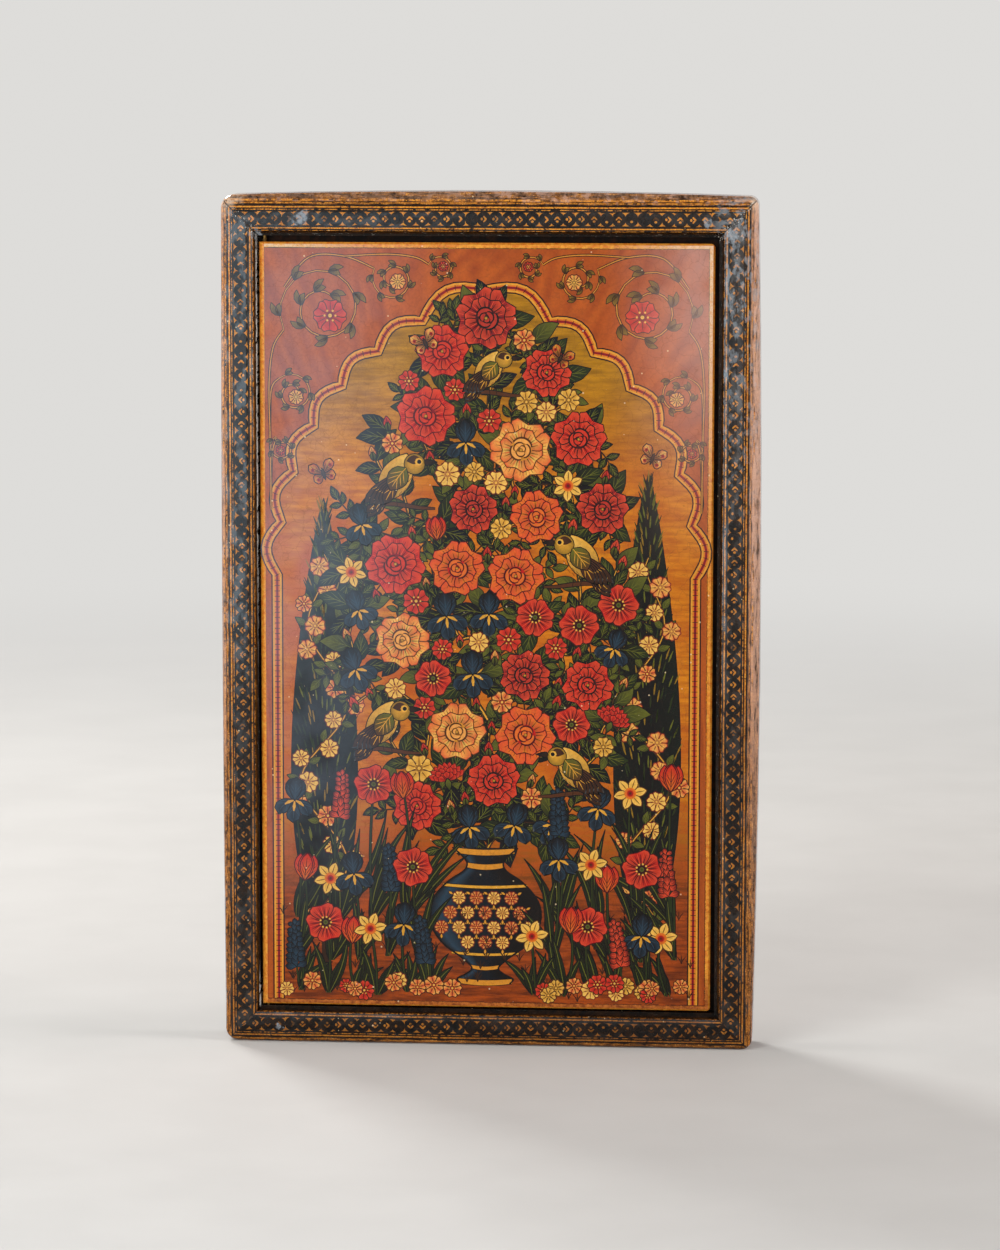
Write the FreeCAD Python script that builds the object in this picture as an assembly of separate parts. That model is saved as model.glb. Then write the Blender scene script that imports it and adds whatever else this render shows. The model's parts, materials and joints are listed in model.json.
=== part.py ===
import FreeCAD, Part
import math
import os
from FreeCAD import Vector

# Lacquered mirror case standing on its bottom edge, in millimetres.
# X runs to the right, Y from the viewer into the case, Z up. The front faces -Y.
# A tray of painted pasteboard holds a mirror, and a shutter swings out of the moulded frame
# on two wire pins at its left edge.
# The origin is under the middle of the bounding box, on the face that the case stands on.

# Outline of the case
case_width = 150.0  # between the lines that the moulding's section is measured from
case_height = 241.0
top_roll_extra = 1.2  # how far the outer roll stands out past those lines
left_roll_extra = 0.4
right_roll_extra = 0.6
case_depth = 14.0
top_bow = 1.2  # how far the middle of each side stands out past its corners
left_bow = 0.4
right_bow = 1.4
top_left_radius = 3.8
top_right_radius = 2.7
bottom_left_radius = 3.6
bottom_right_radius = 2.9
front_round = 2.4  # roll of the outer edge into the front
back_round = 1.2

# Section of the frame moulding, from the outer side inwards
rail_width = 10.2
crown_place = 4.9  # how far in the crown of the moulding lies
crown_fall_out = 1.0  # drop of the crown at the outer side
crown_fall_in = 0.22  # drop of the crown at the arris of the cavetto
cavetto_width = 1.5
left_cavetto_width = 0.9  # the shutter is hung close to the left rail
cavetto_drop = 2.2
cavetto_hollow = 0.26

# Layers behind the shutter
board_thickness = 3.4
packing_thickness = 0.5
foil_thickness = 0.12
glass_thickness = 2.2
glass_play = 0.3  # between the glass and the rails, all round
foil_margin = 0.6  # bare border of the glass behind which no foil lies
packing_margin = 0.4
slip_thickness = 1.8
slip_width = 5.2
slip_play = 0.12
slip_round = 1.2

# Shutter
shutter_thickness = 3.2
shutter_crown = 0.35  # bulge of the painted face
shutter_rest_gap = 0.3  # between the closed shutter and the slips
hinge_gap = 0.5
free_gap = 1.2
foot_gap = 0.5
head_gap = 1.8
shutter_chamfer = 0.5
shutter_back_chamfer = 0.3
shutter_corner_round = 1.2  # at the free edge

# Pivots
pin_radius = 0.7
pin_reach = 6.2  # into the shutter
pin_point = 1.1
pin_sink = 0.35  # head below the painted edge of the case
pin_head_radius = 1.25
pin_head_thickness = 0.5
pin_seat_play = 0.02
ferrule_bore_play = 0.05
ferrule_radius = 1.08
ferrule_glue = 0.02
ferrule_length = 8.0

# Places worked out from the sizes above
far = 40.0  # longer than any overhang that a cutting shape has to reach past
stand_out = (right_bow + right_roll_extra) - (left_bow + left_roll_extra)
left = -case_width / 2 - stand_out / 2
right = left + case_width
outline_left = left - left_roll_extra
outline_right = right + right_roll_extra
outline_top = case_height + top_roll_extra
front = -case_depth / 2
back = case_depth / 2
board_front = back - board_thickness
left_rail_width = rail_width - cavetto_width + left_cavetto_width
opening_left = left + left_rail_width
opening_right = right - rail_width
opening_bottom = rail_width
opening_top = case_height - rail_width
foil_back = board_front - packing_thickness
glass_back = foil_back - foil_thickness
glass_front = glass_back - glass_thickness
slip_front = glass_front - slip_thickness
shutter_back = slip_front - shutter_rest_gap
shutter_half = shutter_thickness / 2
pivot_y = shutter_back - shutter_half
shutter_left = opening_left + hinge_gap
shutter_right = opening_right - free_gap
shutter_bottom = opening_bottom + foot_gap
shutter_top = opening_top - head_gap
pivot_x = shutter_left + shutter_half


def polygon_face(points):
    return Part.Face(Part.makePolygon(points + [points[0]]))


def box_between(low, high):
    size = [b - a for a, b in zip(low, high)]
    return Part.makeBox(*size, Vector(*low))


def edge_of(start, middle, end):
    """A straight edge, or an arc where the middle point stands off the chord."""
    chord_middle = (start + end) * 0.5
    if (middle - chord_middle).Length < 1e-6:
        return Part.makeLine(start, end)
    return Part.Arc(start, middle, end).toShape()


def outline_prism(near, deep):
    """The case's outline, with its bowed sides and rounded corners, from y = near to y = deep."""
    a = Vector(outline_left, near, 0)
    b = Vector(outline_right, near, 0)
    c = Vector(outline_right, near, outline_top)
    d = Vector(outline_left, near, outline_top)
    sides = [
        edge_of(a, (a + b) * 0.5, b),
        edge_of(b, (b + c) * 0.5 + Vector(right_bow, 0, 0), c),
        edge_of(c, (c + d) * 0.5 + Vector(0, 0, top_bow), d),
        edge_of(d, (d + a) * 0.5 - Vector(left_bow, 0, 0), a),
    ]
    solid = Part.Face(Part.Wire(sides)).extrude(Vector(0, deep - near, 0))
    radii = [
        (a, bottom_left_radius),
        (b, bottom_right_radius),
        (c, top_right_radius),
        (d, top_left_radius),
    ]
    for corner, radius in radii:
        edge = upright_edge(solid, corner)
        solid = solid.makeFillet(radius, [edge])
    return solid


def upright_edge(solid, corner):
    """The edge that runs straight back from a corner of the outline."""
    for edge in solid.Edges:
        ends = [v.Point for v in edge.Vertexes]
        if all(abs(p.x - corner.x) < 1e-4 and abs(p.z - corner.z) < 1e-4 for p in ends):
            return edge
    raise ValueError("the outline has no edge at that corner")


def rim_edges(solid, y):
    return [e for e in solid.Edges if all(abs(v.Y - y) < 1e-6 for v in e.Vertexes)]


def rounded_block():
    """The whole case as one block: soft edges at the front, smaller ones at the back."""
    block = outline_prism(front, back)
    block = block.makeFillet(front_round, rim_edges(block, front))
    return block.makeFillet(back_round, rim_edges(block, back))


def moulding_section(at, hollow_width):
    """The moulding's section as a face. at(u, y) gives the point u in from the outer side."""
    arris_u = rail_width - cavetto_width
    inner_u = arris_u + hollow_width
    wall_y = front + crown_fall_in + cavetto_drop
    outside = -front_round - max(
        top_bow + top_roll_extra, left_bow + left_roll_extra, right_bow + right_roll_extra
    )
    slope = crown_fall_out / crown_place
    outer_low = at(outside, board_front)
    outer_high = at(outside, front + crown_fall_out - slope * outside)
    outer_side = at(0, front + crown_fall_out)
    crest = at(crown_place, front)
    arris = at(arris_u, front + crown_fall_in)
    hollow = at(
        arris_u + hollow_width / 2 - cavetto_hollow * hollow_width / cavetto_width,
        front + crown_fall_in + cavetto_drop / 2 + cavetto_hollow,
    )
    wall_top = at(inner_u, wall_y)
    wall_foot = at(inner_u, board_front)
    edges = [
        Part.makeLine(outer_low, outer_high),
        Part.makeLine(outer_high, outer_side),
        Part.Arc(outer_side, crest, arris).toShape(),
        Part.Arc(arris, hollow, wall_top).toShape(),
        Part.makeLine(wall_top, wall_foot),
        Part.makeLine(wall_foot, outer_low),
    ]
    return Part.Face(Part.Wire(edges))


def mitre_wedge(start, end, inward):
    """Everything between the two 45 degree mitres of the side that runs from start to end."""
    along = (end - start).normalize()
    depth = Vector(0, back - front + far, 0)
    lift = Vector(0, front - far / 2, 0)
    reach = rail_width + 1
    points = [
        start - along * far - inward * far + lift,
        end + along * far - inward * far + lift,
        end - along * reach + inward * reach + lift,
        start + along * reach + inward * reach + lift,
    ]
    return polygon_face(points).extrude(depth)


def rail(block, start, end, inward, hollow_width=cavetto_width):
    """One mitred length of the moulding, from the outer corner start to the outer corner end."""
    along = (end - start).normalize()
    origin = start - along * far

    def at(u, y):
        return origin + inward * u + Vector(0, y, 0)

    length = (end - start).Length + 2 * far
    bar = moulding_section(at, hollow_width).extrude(along * length)
    return bar.common(mitre_wedge(start, end, inward)).common(block)


def frame_rails(block):
    a = Vector(left, 0, 0)
    b = Vector(right, 0, 0)
    c = Vector(right, 0, case_height)
    d = Vector(left, 0, case_height)
    rails = {
        "frame_rail_bottom": rail(block, a, b, Vector(0, 0, 1)),
        "frame_rail_right": rail(block, b, c, Vector(-1, 0, 0)),
        "frame_rail_top": rail(block, c, d, Vector(0, 0, -1)),
        "frame_rail_left": rail(block, d, a, Vector(1, 0, 0), left_cavetto_width),
    }
    for side in ("top", "bottom"):
        name = "frame_rail_" + side
        rails[name] = rails[name].cut(pin_hole(side))
    return rails


def back_board(block):
    low = (left - far, board_front, -far)
    high = (right + far, back + far, case_height + far)
    return block.common(box_between(low, high))


def edge_height_at_pivot(side):
    """Z of the case's outer edge where the pivot pin goes in."""
    if side == "bottom":
        return 0.0
    half = (outline_right - outline_left) / 2
    radius = (half**2 + top_bow**2) / (2 * top_bow)
    offset = pivot_x - (outline_left + outline_right) / 2
    return outline_top + top_bow - radius + math.sqrt(radius**2 - offset**2)


def outward(side):
    return 1 if side == "top" else -1


def post(radius, start_z, end_z):
    """A round bar on the pivot axis between two heights."""
    low, high = min(start_z, end_z), max(start_z, end_z)
    return Part.makeCylinder(radius, high - low, Vector(pivot_x, pivot_y, low))


def pin_hole(side):
    """The hole through a rail for its pin, with the wider seat of the pin's head."""
    edge = edge_height_at_pivot(side)
    out = outward(side)
    head_seat = edge - out * (pin_sink + pin_head_thickness)
    bore = post(pin_radius + pin_seat_play, edge + out, edge - out * (rail_width + 5))
    return bore.fuse(post(pin_head_radius + pin_seat_play, edge + out * 2, head_seat))


def shutter_edge(side):
    return shutter_top if side == "top" else shutter_bottom


def pivot_pin(side):
    """A headed wire pin, driven through the rail, with its point inside the shutter."""
    out = outward(side)
    head_top = edge_height_at_pivot(side) - out * pin_sink
    head_foot = head_top - out * pin_head_thickness
    tip = shutter_edge(side) - out * pin_reach
    shank_end = tip + out * pin_point
    blunt = pin_radius * 0.25
    half_section = [
        Vector(0, 0, head_top),
        Vector(pin_head_radius, 0, head_top),
        Vector(pin_head_radius, 0, head_foot),
        Vector(pin_radius, 0, head_foot),
        Vector(pin_radius, 0, shank_end),
        Vector(blunt, 0, tip),
        Vector(0, 0, tip),
    ]
    pin = polygon_face(half_section).revolve(Vector(0, 0, 0), Vector(0, 0, 1), 360)
    pin.translate(Vector(pivot_x, pivot_y, 0))
    return pin


def pivot_ferrule(side):
    """The thin brass tube in the shutter's edge that turns on the pin."""
    edge = shutter_edge(side)
    inner_end = edge - outward(side) * ferrule_length
    tube = post(ferrule_radius, edge, inner_end)
    return tube.cut(post(pin_radius + ferrule_bore_play, edge, inner_end))


def shutter_board():
    """The painted board: half-round at the hinge, slightly pillowed on its face."""
    hinge = Vector(pivot_x, pivot_y, shutter_bottom)
    face_y = pivot_y - shutter_half
    face_middle = (pivot_x + shutter_right - shutter_chamfer) / 2
    rear_start = hinge + Vector(0, shutter_half, 0)
    nose = hinge - Vector(shutter_half, 0, 0)
    face_start = hinge - Vector(0, shutter_half, 0)
    face_top = Vector(face_middle, face_y - shutter_crown, shutter_bottom)
    face_end = Vector(shutter_right - shutter_chamfer, face_y, shutter_bottom)
    edge_front = Vector(shutter_right, face_y + shutter_chamfer, shutter_bottom)
    edge_back = Vector(
        shutter_right, shutter_back - shutter_back_chamfer, shutter_bottom
    )
    rear_end = Vector(
        shutter_right - shutter_back_chamfer, shutter_back, shutter_bottom
    )
    edges = [
        Part.Arc(rear_start, nose, face_start).toShape(),
        Part.Arc(face_start, face_top, face_end).toShape(),
        Part.makeLine(face_end, edge_front),
        Part.makeLine(edge_front, edge_back),
        Part.makeLine(edge_back, rear_end),
        Part.makeLine(rear_end, rear_start),
    ]
    section = Part.Face(Part.Wire(edges))
    board = section.extrude(Vector(0, 0, shutter_top - shutter_bottom))
    for side in ("top", "bottom"):
        edge = shutter_edge(side)
        board = board.cut(corner_waste(side))
        board = board.cut(lip_wedge(side))
        depth = edge - outward(side) * (ferrule_length + ferrule_glue)
        board = board.cut(post(ferrule_radius + ferrule_glue, edge, depth))
    return board


def corner_waste(side):
    """What the rounding takes off the shutter's free corner at its head or foot."""
    edge = shutter_edge(side)
    centre_x = shutter_right - shutter_corner_round
    centre_z = edge - outward(side) * shutter_corner_round
    beyond = edge + outward(side)
    near = pivot_y - shutter_thickness
    deep = pivot_y + shutter_thickness
    low = (centre_x, near, min(centre_z, beyond))
    high = (shutter_right + 1, deep, max(centre_z, beyond))
    kept = Part.makeCylinder(
        shutter_corner_round, deep - near, Vector(centre_x, near, centre_z), Vector(0, 1, 0)
    )
    return box_between(low, high).cut(kept)


def lip_wedge(side):
    """What the chamfer takes off the painted face along the shutter's head or foot."""
    edge = shutter_edge(side)
    out = outward(side)
    face_y = pivot_y - shutter_half
    reach = shutter_crown + shutter_chamfer
    points = [
        Vector(shutter_left - 1, face_y + shutter_chamfer, edge),
        Vector(shutter_left - 1, face_y - reach, edge),
        Vector(shutter_left - 1, face_y - reach, edge - out * (shutter_chamfer + reach)),
    ]
    length = shutter_right - shutter_left + 2
    wedge = polygon_face(points).extrude(Vector(length, 0, 0))
    return wedge


def pane(near, deep, margin):
    """A sheet in the tray, inset by margin from the rails on all sides."""
    low = (opening_left + margin, near, opening_bottom + margin)
    high = (opening_right - margin, deep, opening_top - margin)
    return box_between(low, high)


def slip(start, end, inward):
    """One mitred gilt fillet that holds the glass, with its inner edge rounded over."""
    along = (end - start).normalize()
    origin = start - along * far
    out_y = slip_front
    turn = slip_round * (1 - math.sqrt(0.5))

    def at(u, y):
        return origin + inward * u + Vector(0, y, 0)

    edges = [
        Part.makeLine(at(0, glass_front), at(0, out_y)),
        Part.makeLine(at(0, out_y), at(slip_width - slip_round, out_y)),
        Part.Arc(
            at(slip_width - slip_round, out_y),
            at(slip_width - turn, out_y + turn),
            at(slip_width, out_y + slip_round),
        ).toShape(),
        Part.makeLine(at(slip_width, out_y + slip_round), at(slip_width, glass_front)),
        Part.makeLine(at(slip_width, glass_front), at(0, glass_front)),
    ]
    bar = Part.Face(Part.Wire(edges)).extrude(along * ((end - start).Length + 2 * far))
    return bar.common(mitre_wedge(start, end, inward))


def mirror_slips():
    low_x = opening_left + slip_play
    high_x = opening_right - slip_play
    low_z = opening_bottom + slip_play
    high_z = opening_top - slip_play
    a = Vector(low_x, 0, low_z)
    b = Vector(high_x, 0, low_z)
    c = Vector(high_x, 0, high_z)
    d = Vector(low_x, 0, high_z)
    return {
        "mirror_slip_bottom": slip(a, b, Vector(0, 0, 1)),
        "mirror_slip_right": slip(b, c, Vector(-1, 0, 0)),
        "mirror_slip_top": slip(c, d, Vector(0, 0, -1)),
        "mirror_slip_left": slip(d, a, Vector(1, 0, 0)),
    }


def build():
    block = rounded_block()
    pieces = {
        "back_board": back_board(block),
        "backing_paper": pane(foil_back, board_front, packing_margin),
        "tin_foil": pane(glass_back, foil_back, foil_margin),
        "mirror_glass": pane(glass_front, glass_back, glass_play),
        "shutter_board": shutter_board(),
    }
    pieces.update(frame_rails(block))
    pieces.update(mirror_slips())
    for side in ("top", "bottom"):
        pieces["pivot_pin_" + side] = pivot_pin(side)
        pieces["pivot_ferrule_" + side] = pivot_ferrule(side)
    return pieces


os.makedirs("parts", exist_ok=True)
for node, shape in sorted(build().items()):
    assert shape.isValid() and len(shape.Solids) == 1, node
    Part.makeCompound(shape.Solids).exportStep("parts/" + node + ".step")
    box = shape.BoundBox
    print(
        f"{node:22s} {shape.Volume:10.2f} mm3"
        f"  x {box.XMin:8.2f} {box.XMax:8.2f}"
        f"  y {box.YMin:7.2f} {box.YMax:7.2f}"
        f"  z {box.ZMin:7.2f} {box.ZMax:7.2f}"
    )
print(f"pivot axis x {pivot_x:.3f} y {pivot_y:.3f}, radius of the hinge edge {shutter_half:.3f}")
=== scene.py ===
# %% [markdown]
# # A lacquered mirror case
# The object is a shallow case of pasted paper. A mirror lies in it, and a painted shutter on two
# wire pins covers the mirror. The whole case is painted, and then varnished until it shines.
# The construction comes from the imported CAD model, and this lesson gives it its paint, its gilding,
# its varnish and its wear.

# %%
import cmath
import json
import math
import random

import bpy
from mathutils import Matrix, Vector


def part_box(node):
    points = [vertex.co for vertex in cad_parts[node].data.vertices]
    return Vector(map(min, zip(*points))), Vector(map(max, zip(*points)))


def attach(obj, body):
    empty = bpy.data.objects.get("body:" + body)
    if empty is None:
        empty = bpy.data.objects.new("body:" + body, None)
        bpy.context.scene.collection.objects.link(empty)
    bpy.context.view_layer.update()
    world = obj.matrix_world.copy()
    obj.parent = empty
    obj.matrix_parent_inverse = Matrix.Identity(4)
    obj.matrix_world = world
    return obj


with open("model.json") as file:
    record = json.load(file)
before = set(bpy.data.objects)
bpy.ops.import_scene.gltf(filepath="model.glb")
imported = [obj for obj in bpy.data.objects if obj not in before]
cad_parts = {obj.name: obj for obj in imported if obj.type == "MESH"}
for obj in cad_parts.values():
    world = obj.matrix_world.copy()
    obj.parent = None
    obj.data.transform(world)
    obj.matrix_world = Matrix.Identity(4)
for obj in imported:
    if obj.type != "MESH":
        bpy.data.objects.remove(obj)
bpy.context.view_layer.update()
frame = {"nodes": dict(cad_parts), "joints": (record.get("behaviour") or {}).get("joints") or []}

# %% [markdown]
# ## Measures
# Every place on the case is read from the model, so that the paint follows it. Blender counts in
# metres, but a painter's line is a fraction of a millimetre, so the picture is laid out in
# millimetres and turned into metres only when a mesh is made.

MM = 0.001
nodes = frame["nodes"]


def box_mm(name):
    low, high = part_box(name)
    return low / MM, high / MM


shutter_low, shutter_high = box_mm("shutter_board")
right_low, right_high = box_mm("frame_rail_right")
back_low, back_high = box_mm("back_board")

hinge = frame["joints"][0]
pivot_x = hinge["pos_m"][0] / MM
pivot_y = hinge["pos_m"][1] / MM
hinge_round = pivot_x - shutter_low.x
TRIMMED = 0.6  # The left rail's hollow is narrower, because the shutter hangs close to it.
inner_left = box_mm("frame_rail_left")[1].x + TRIMMED
inner_right = right_low.x
inner_bottom = box_mm("frame_rail_bottom")[1].z
inner_top = box_mm("frame_rail_top")[0].z
shutter_middle = (shutter_low.x + shutter_high.x) / 2
print("shutter", shutter_low, shutter_high)
print("opening", inner_left, inner_right, inner_bottom, inner_top)

# %% [markdown]
# ## Colours
# A pigment is easiest to name as the red, green and blue of a screen, from 0 to 255. A shader counts
# in linear light, so `pigment` turns one into the other. The old varnish has turned amber, so white
# is a warm cream here and black is brown at its edges.


# %%
def linear(level):
    level /= 255
    return level / 12.92 if level <= 0.04045 else ((level + 0.055) / 1.055) ** 2.4


def pigment(red, green, blue):
    return (linear(red), linear(green), linear(blue), 1.0)


def blend(a, b, share):
    return tuple(p + (q - p) * share for p, q in zip(a, b))


BLACK = pigment(8, 6, 6)
BLUE_BLACK = pigment(10, 18, 26)
BROWN = pigment(82, 42, 18)
UMBER = pigment(48, 26, 12)
TERRACOTTA = pigment(188, 88, 24)
BRICK = pigment(150, 60, 16)
SCARLET = pigment(196, 24, 20)
CRIMSON = pigment(138, 8, 24)
WINE = pigment(72, 8, 12)
CORAL = pigment(222, 72, 40)
ORANGE = pigment(222, 118, 30)
GOLD = pigment(214, 138, 40)
AMBER = pigment(186, 118, 26)
OLIVE_GOLD = pigment(140, 104, 24)
CREAM = pigment(244, 190, 88)
STRAW = pigment(222, 156, 48)
OLIVE = pigment(98, 98, 28)
MOSS = pigment(38, 48, 16)
BOTTLE = pigment(13, 24, 14)
SLATE = pigment(38, 60, 76)

# %% [markdown]
# ## Shader arithmetic
# A pattern in a shader is arithmetic on places. Wired by hand, it soon becomes a tangle of Math
# nodes. `Wire` holds one value on its way through the node tree, and lets Python's own signs add the
# nodes, so that a pattern reads like a formula.


# %%
def feed(slot, value):
    if isinstance(value, Wire):
        slot.id_data.links.new(value.socket, slot)
    elif value is not None:
        slot.default_value = value


class Wire:
    """A value on its way through a node tree."""

    def __init__(self, socket):
        self.socket = socket
        self.tree = socket.id_data

    def node(self, kind, **settings):
        made = self.tree.nodes.new(kind)
        for name, value in settings.items():
            setattr(made, name, value)
        return made

    def math(self, operation, *others, first=None):
        node = self.node("ShaderNodeMath", operation=operation)
        values = (self, *others) if first is None else (first, self)
        for slot, value in zip(node.inputs, values):
            feed(slot, value)
        return Wire(node.outputs[0])

    def __add__(self, other):
        return self.math("ADD", other)

    def __radd__(self, other):
        return self.math("ADD", other)

    def __sub__(self, other):
        return self.math("SUBTRACT", other)

    def __rsub__(self, other):
        return self.math("SUBTRACT", first=other)

    def __mul__(self, other):
        return self.math("MULTIPLY", other)

    def __rmul__(self, other):
        return self.math("MULTIPLY", other)

    def __truediv__(self, other):
        return self.math("DIVIDE", other)

    def __abs__(self):
        return self.math("ABSOLUTE")

    def over(self, other):
        return self.math("MAXIMUM", other)

    def under(self, other):
        return self.math("MINIMUM", other)

    def root(self):
        return self.math("SQRT")

    def ramp(self, start, end):
        """0 at start and 1 at end, with soft ends. It falls where end is the smaller."""
        node = self.node("ShaderNodeMapRange", interpolation_type="SMOOTHSTEP")
        for slot, value in zip(node.inputs, (self, start, end, 0.0, 1.0)):
            feed(slot, value)
        return Wire(node.outputs[0])

    def mix(self, a, b):
        """The colour a where this value is 0, and b where it is 1."""
        node = self.node("ShaderNodeMix", data_type="RGBA")
        for slot, value in zip((node.inputs[0], node.inputs[6], node.inputs[7]), (self, a, b)):
            feed(slot, value)
        return Wire(node.outputs[2])

    def xyz(self):
        node = self.node("ShaderNodeSeparateXYZ")
        feed(node.inputs[0], self)
        return [Wire(out) for out in node.outputs]

    def scaled(self, *factors):
        node = self.node("ShaderNodeVectorMath", operation="MULTIPLY")
        feed(node.inputs[0], self)
        feed(node.inputs[1], factors)
        return Wire(node.outputs[0])

    def noise(self, scale, detail=2.0, roughness=0.5, **settings):
        node = self.node("ShaderNodeTexNoise", **settings)
        feed(node.inputs["Vector"], self)
        feed(node.inputs["Scale"], scale)
        feed(node.inputs["Detail"], detail)
        feed(node.inputs["Roughness"], roughness)
        return Wire(node.outputs["Fac"])

    def cells(self, scale, feature="F1"):
        node = self.node("ShaderNodeTexVoronoi", feature=feature)
        feed(node.inputs["Vector"], self)
        feed(node.inputs["Scale"], scale)
        return node


def vector_of(x, y, z):
    wire = next(value for value in (x, y, z) if isinstance(value, Wire))
    node = wire.node("ShaderNodeCombineXYZ")
    for slot, value in zip(node.inputs, (x, y, z)):
        feed(slot, value)
    return Wire(node.outputs[0])


# %% [markdown]
# ## Effects as node groups
# Wobbling brush lines, varnish and dust appear on nearly every surface of the case. Each of them is
# built once, as a node group with named sockets, and is placed in a material with its own values.


# %%
KINDS = {
    "value": "NodeSocketFloat",
    "colour": "NodeSocketColor",
    "vector": "NodeSocketVector",
}


def new_group(name, inputs, outputs):
    """An empty group, its inputs as wires, and a function that connects its outputs."""
    tree = bpy.data.node_groups.new(name, "ShaderNodeTree")
    for label, (kind, default) in inputs.items():
        slot = tree.interface.new_socket(label, in_out="INPUT", socket_type=KINDS[kind])
        if kind != "vector":
            slot.default_value = default
    for label, kind in outputs.items():
        tree.interface.new_socket(label, in_out="OUTPUT", socket_type=KINDS[kind])
    entry = tree.nodes.new("NodeGroupInput")
    leave = tree.nodes.new("NodeGroupOutput")
    wires = {label: Wire(entry.outputs[label]) for label in inputs}

    def put_out(**values):
        for label, value in values.items():
            feed(leave.inputs[label.replace("_", " ").capitalize()], value)
        return tree

    return wires, put_out


def use(group, place, **values):
    """Places a group beside a wire, sets its inputs, and returns its outputs as wires."""
    node = place.node("ShaderNodeGroup", node_tree=group)
    feed(node.inputs["Place"], place)
    for label, value in values.items():
        feed(node.inputs[label.replace("_", " ").capitalize()], value)
    return {out.name: Wire(out) for out in node.outputs}


# %% [markdown]
# ### A ruled line
# The painter draws long gold lines with a thin brush. Such a line swells and thins, wanders by a
# hair's breadth, and has worn away in places. A noise along the line moves it, a second one changes
# its width, and a third one rubs gaps into it.


# %%
def ruled_line_group():
    wires, put_out = new_group(
        "ruled line",
        {
            "Place": ("vector", None),
            "Across": ("value", 0.0),
            "Middle": ("value", 0.0),
            "Width": ("value", 0.4),
            "Wear": ("value", 0.5),
        },
        {"Mask": "value"},
    )
    place = wires["Place"]
    wander = place.noise(0.09, 2.0) - 0.5
    swell = place.noise(0.6, 3.0)
    rub = place.noise(0.8, 4.0, 0.65)
    off = abs(wires["Across"] - wires["Middle"] + wander * 0.3)
    half = wires["Width"] * (0.3 + swell * 0.4)
    line = off.ramp(half + 0.07, half - 0.05)
    kept = rub.ramp(wires["Wear"] * 0.62, wires["Wear"] * 0.62 + 0.14)
    return put_out(mask=line * kept)


ruled_line = ruled_line_group()

# %% [markdown]
# ### The chain border
# The border is an old workshop pattern. The band is gilded first. Touching black rings then leave
# only small gold triangles along both edges, and each ring gets two short strokes over a dot. In the
# shader, the distance along the rail is cut into units of one pitch, and the same drawing is made in
# each unit, with a small random shift so that no two are alike.


# %%
def chain_border_group():
    wires, put_out = new_group(
        "chain border",
        {
            "Place": ("vector", None),
            "Along": ("value", 0.0),
            "Across": ("value", 0.0),
            "Pitch": ("value", 3.45),
            "Half band": ("value", 1.86),
        },
        {"Gold": "value"},
    )
    place = wires["Place"]
    drift = (place.noise(0.16, 1.0) - 0.5) * 0.5
    unit = wires["Along"] / wires["Pitch"]
    count = unit.math("FLOOR")
    chance = place.node("ShaderNodeTexWhiteNoise", noise_dimensions="1D")
    feed(chance.inputs["W"], count)
    lots = Wire(chance.outputs["Color"]).xyz()
    a = (unit - count - 0.5) * wires["Pitch"] + (lots[0] - 0.5) * 0.4
    b = wires["Across"] + drift * 0.5 + (lots[1] - 0.5) * 0.25
    ring = (a * a + b * b).root()
    radius = 1.95 + lots[2] * 0.14
    outside = ring.ramp(radius - 0.07, radius + 0.07)
    band = abs(b).ramp(wires["Half band"] + 0.08, wires["Half band"] - 0.08)
    # About half of the drawings point along the rail, and the others point across it.
    turned = (lots[0] * 7.0).math("FRACT").math("GREATER_THAN", 0.5)
    a, b = a + turned * (b - a), b + turned * (a - b)
    side = abs(b)
    # A stroke is all that lies near a short slanted line, drawn on both sides of the middle.
    run, rise = -0.56, 0.62
    from_a, from_b = a - 0.5, side - 0.08
    share = ((from_a * run + from_b * rise) / (run * run + rise * rise)).over(0.0).under(1.0)
    stray_a, stray_b = from_a - share * run, from_b - share * rise
    stroke = (stray_a * stray_a + stray_b * stray_b).root()
    slender = 0.21 - share * 0.07 + lots[1] * 0.06
    strokes = stroke.ramp(slender + 0.08, slender - 0.05)
    dot_a = a + 0.62
    dot = (dot_a * dot_a + b * b * 0.7).root().ramp(0.4, 0.25)
    rub = place.noise(1.1, 3.0, 0.6).ramp(0.28, 0.44)
    faint = lots[1].ramp(0.05, 0.5) * 0.55 + 0.45
    strokes = strokes * lots[2].ramp(0.1, 0.2)
    inside = strokes.over(dot * lots[0].ramp(0.1, 0.2)) * faint
    return put_out(gold=(outside * 0.9).over(inside) * rub * band)


chain_border = chain_border_group()

# %% [markdown]
# ### Old varnish
# The varnish is a clear amber coat over the paint. It has darkened unevenly, cracked into fine
# cells, and caught dust while it dried. The group takes the paint's colour and gives back the colour
# under the varnish, how dull the surface is, and the height that a Bump node needs.


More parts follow.
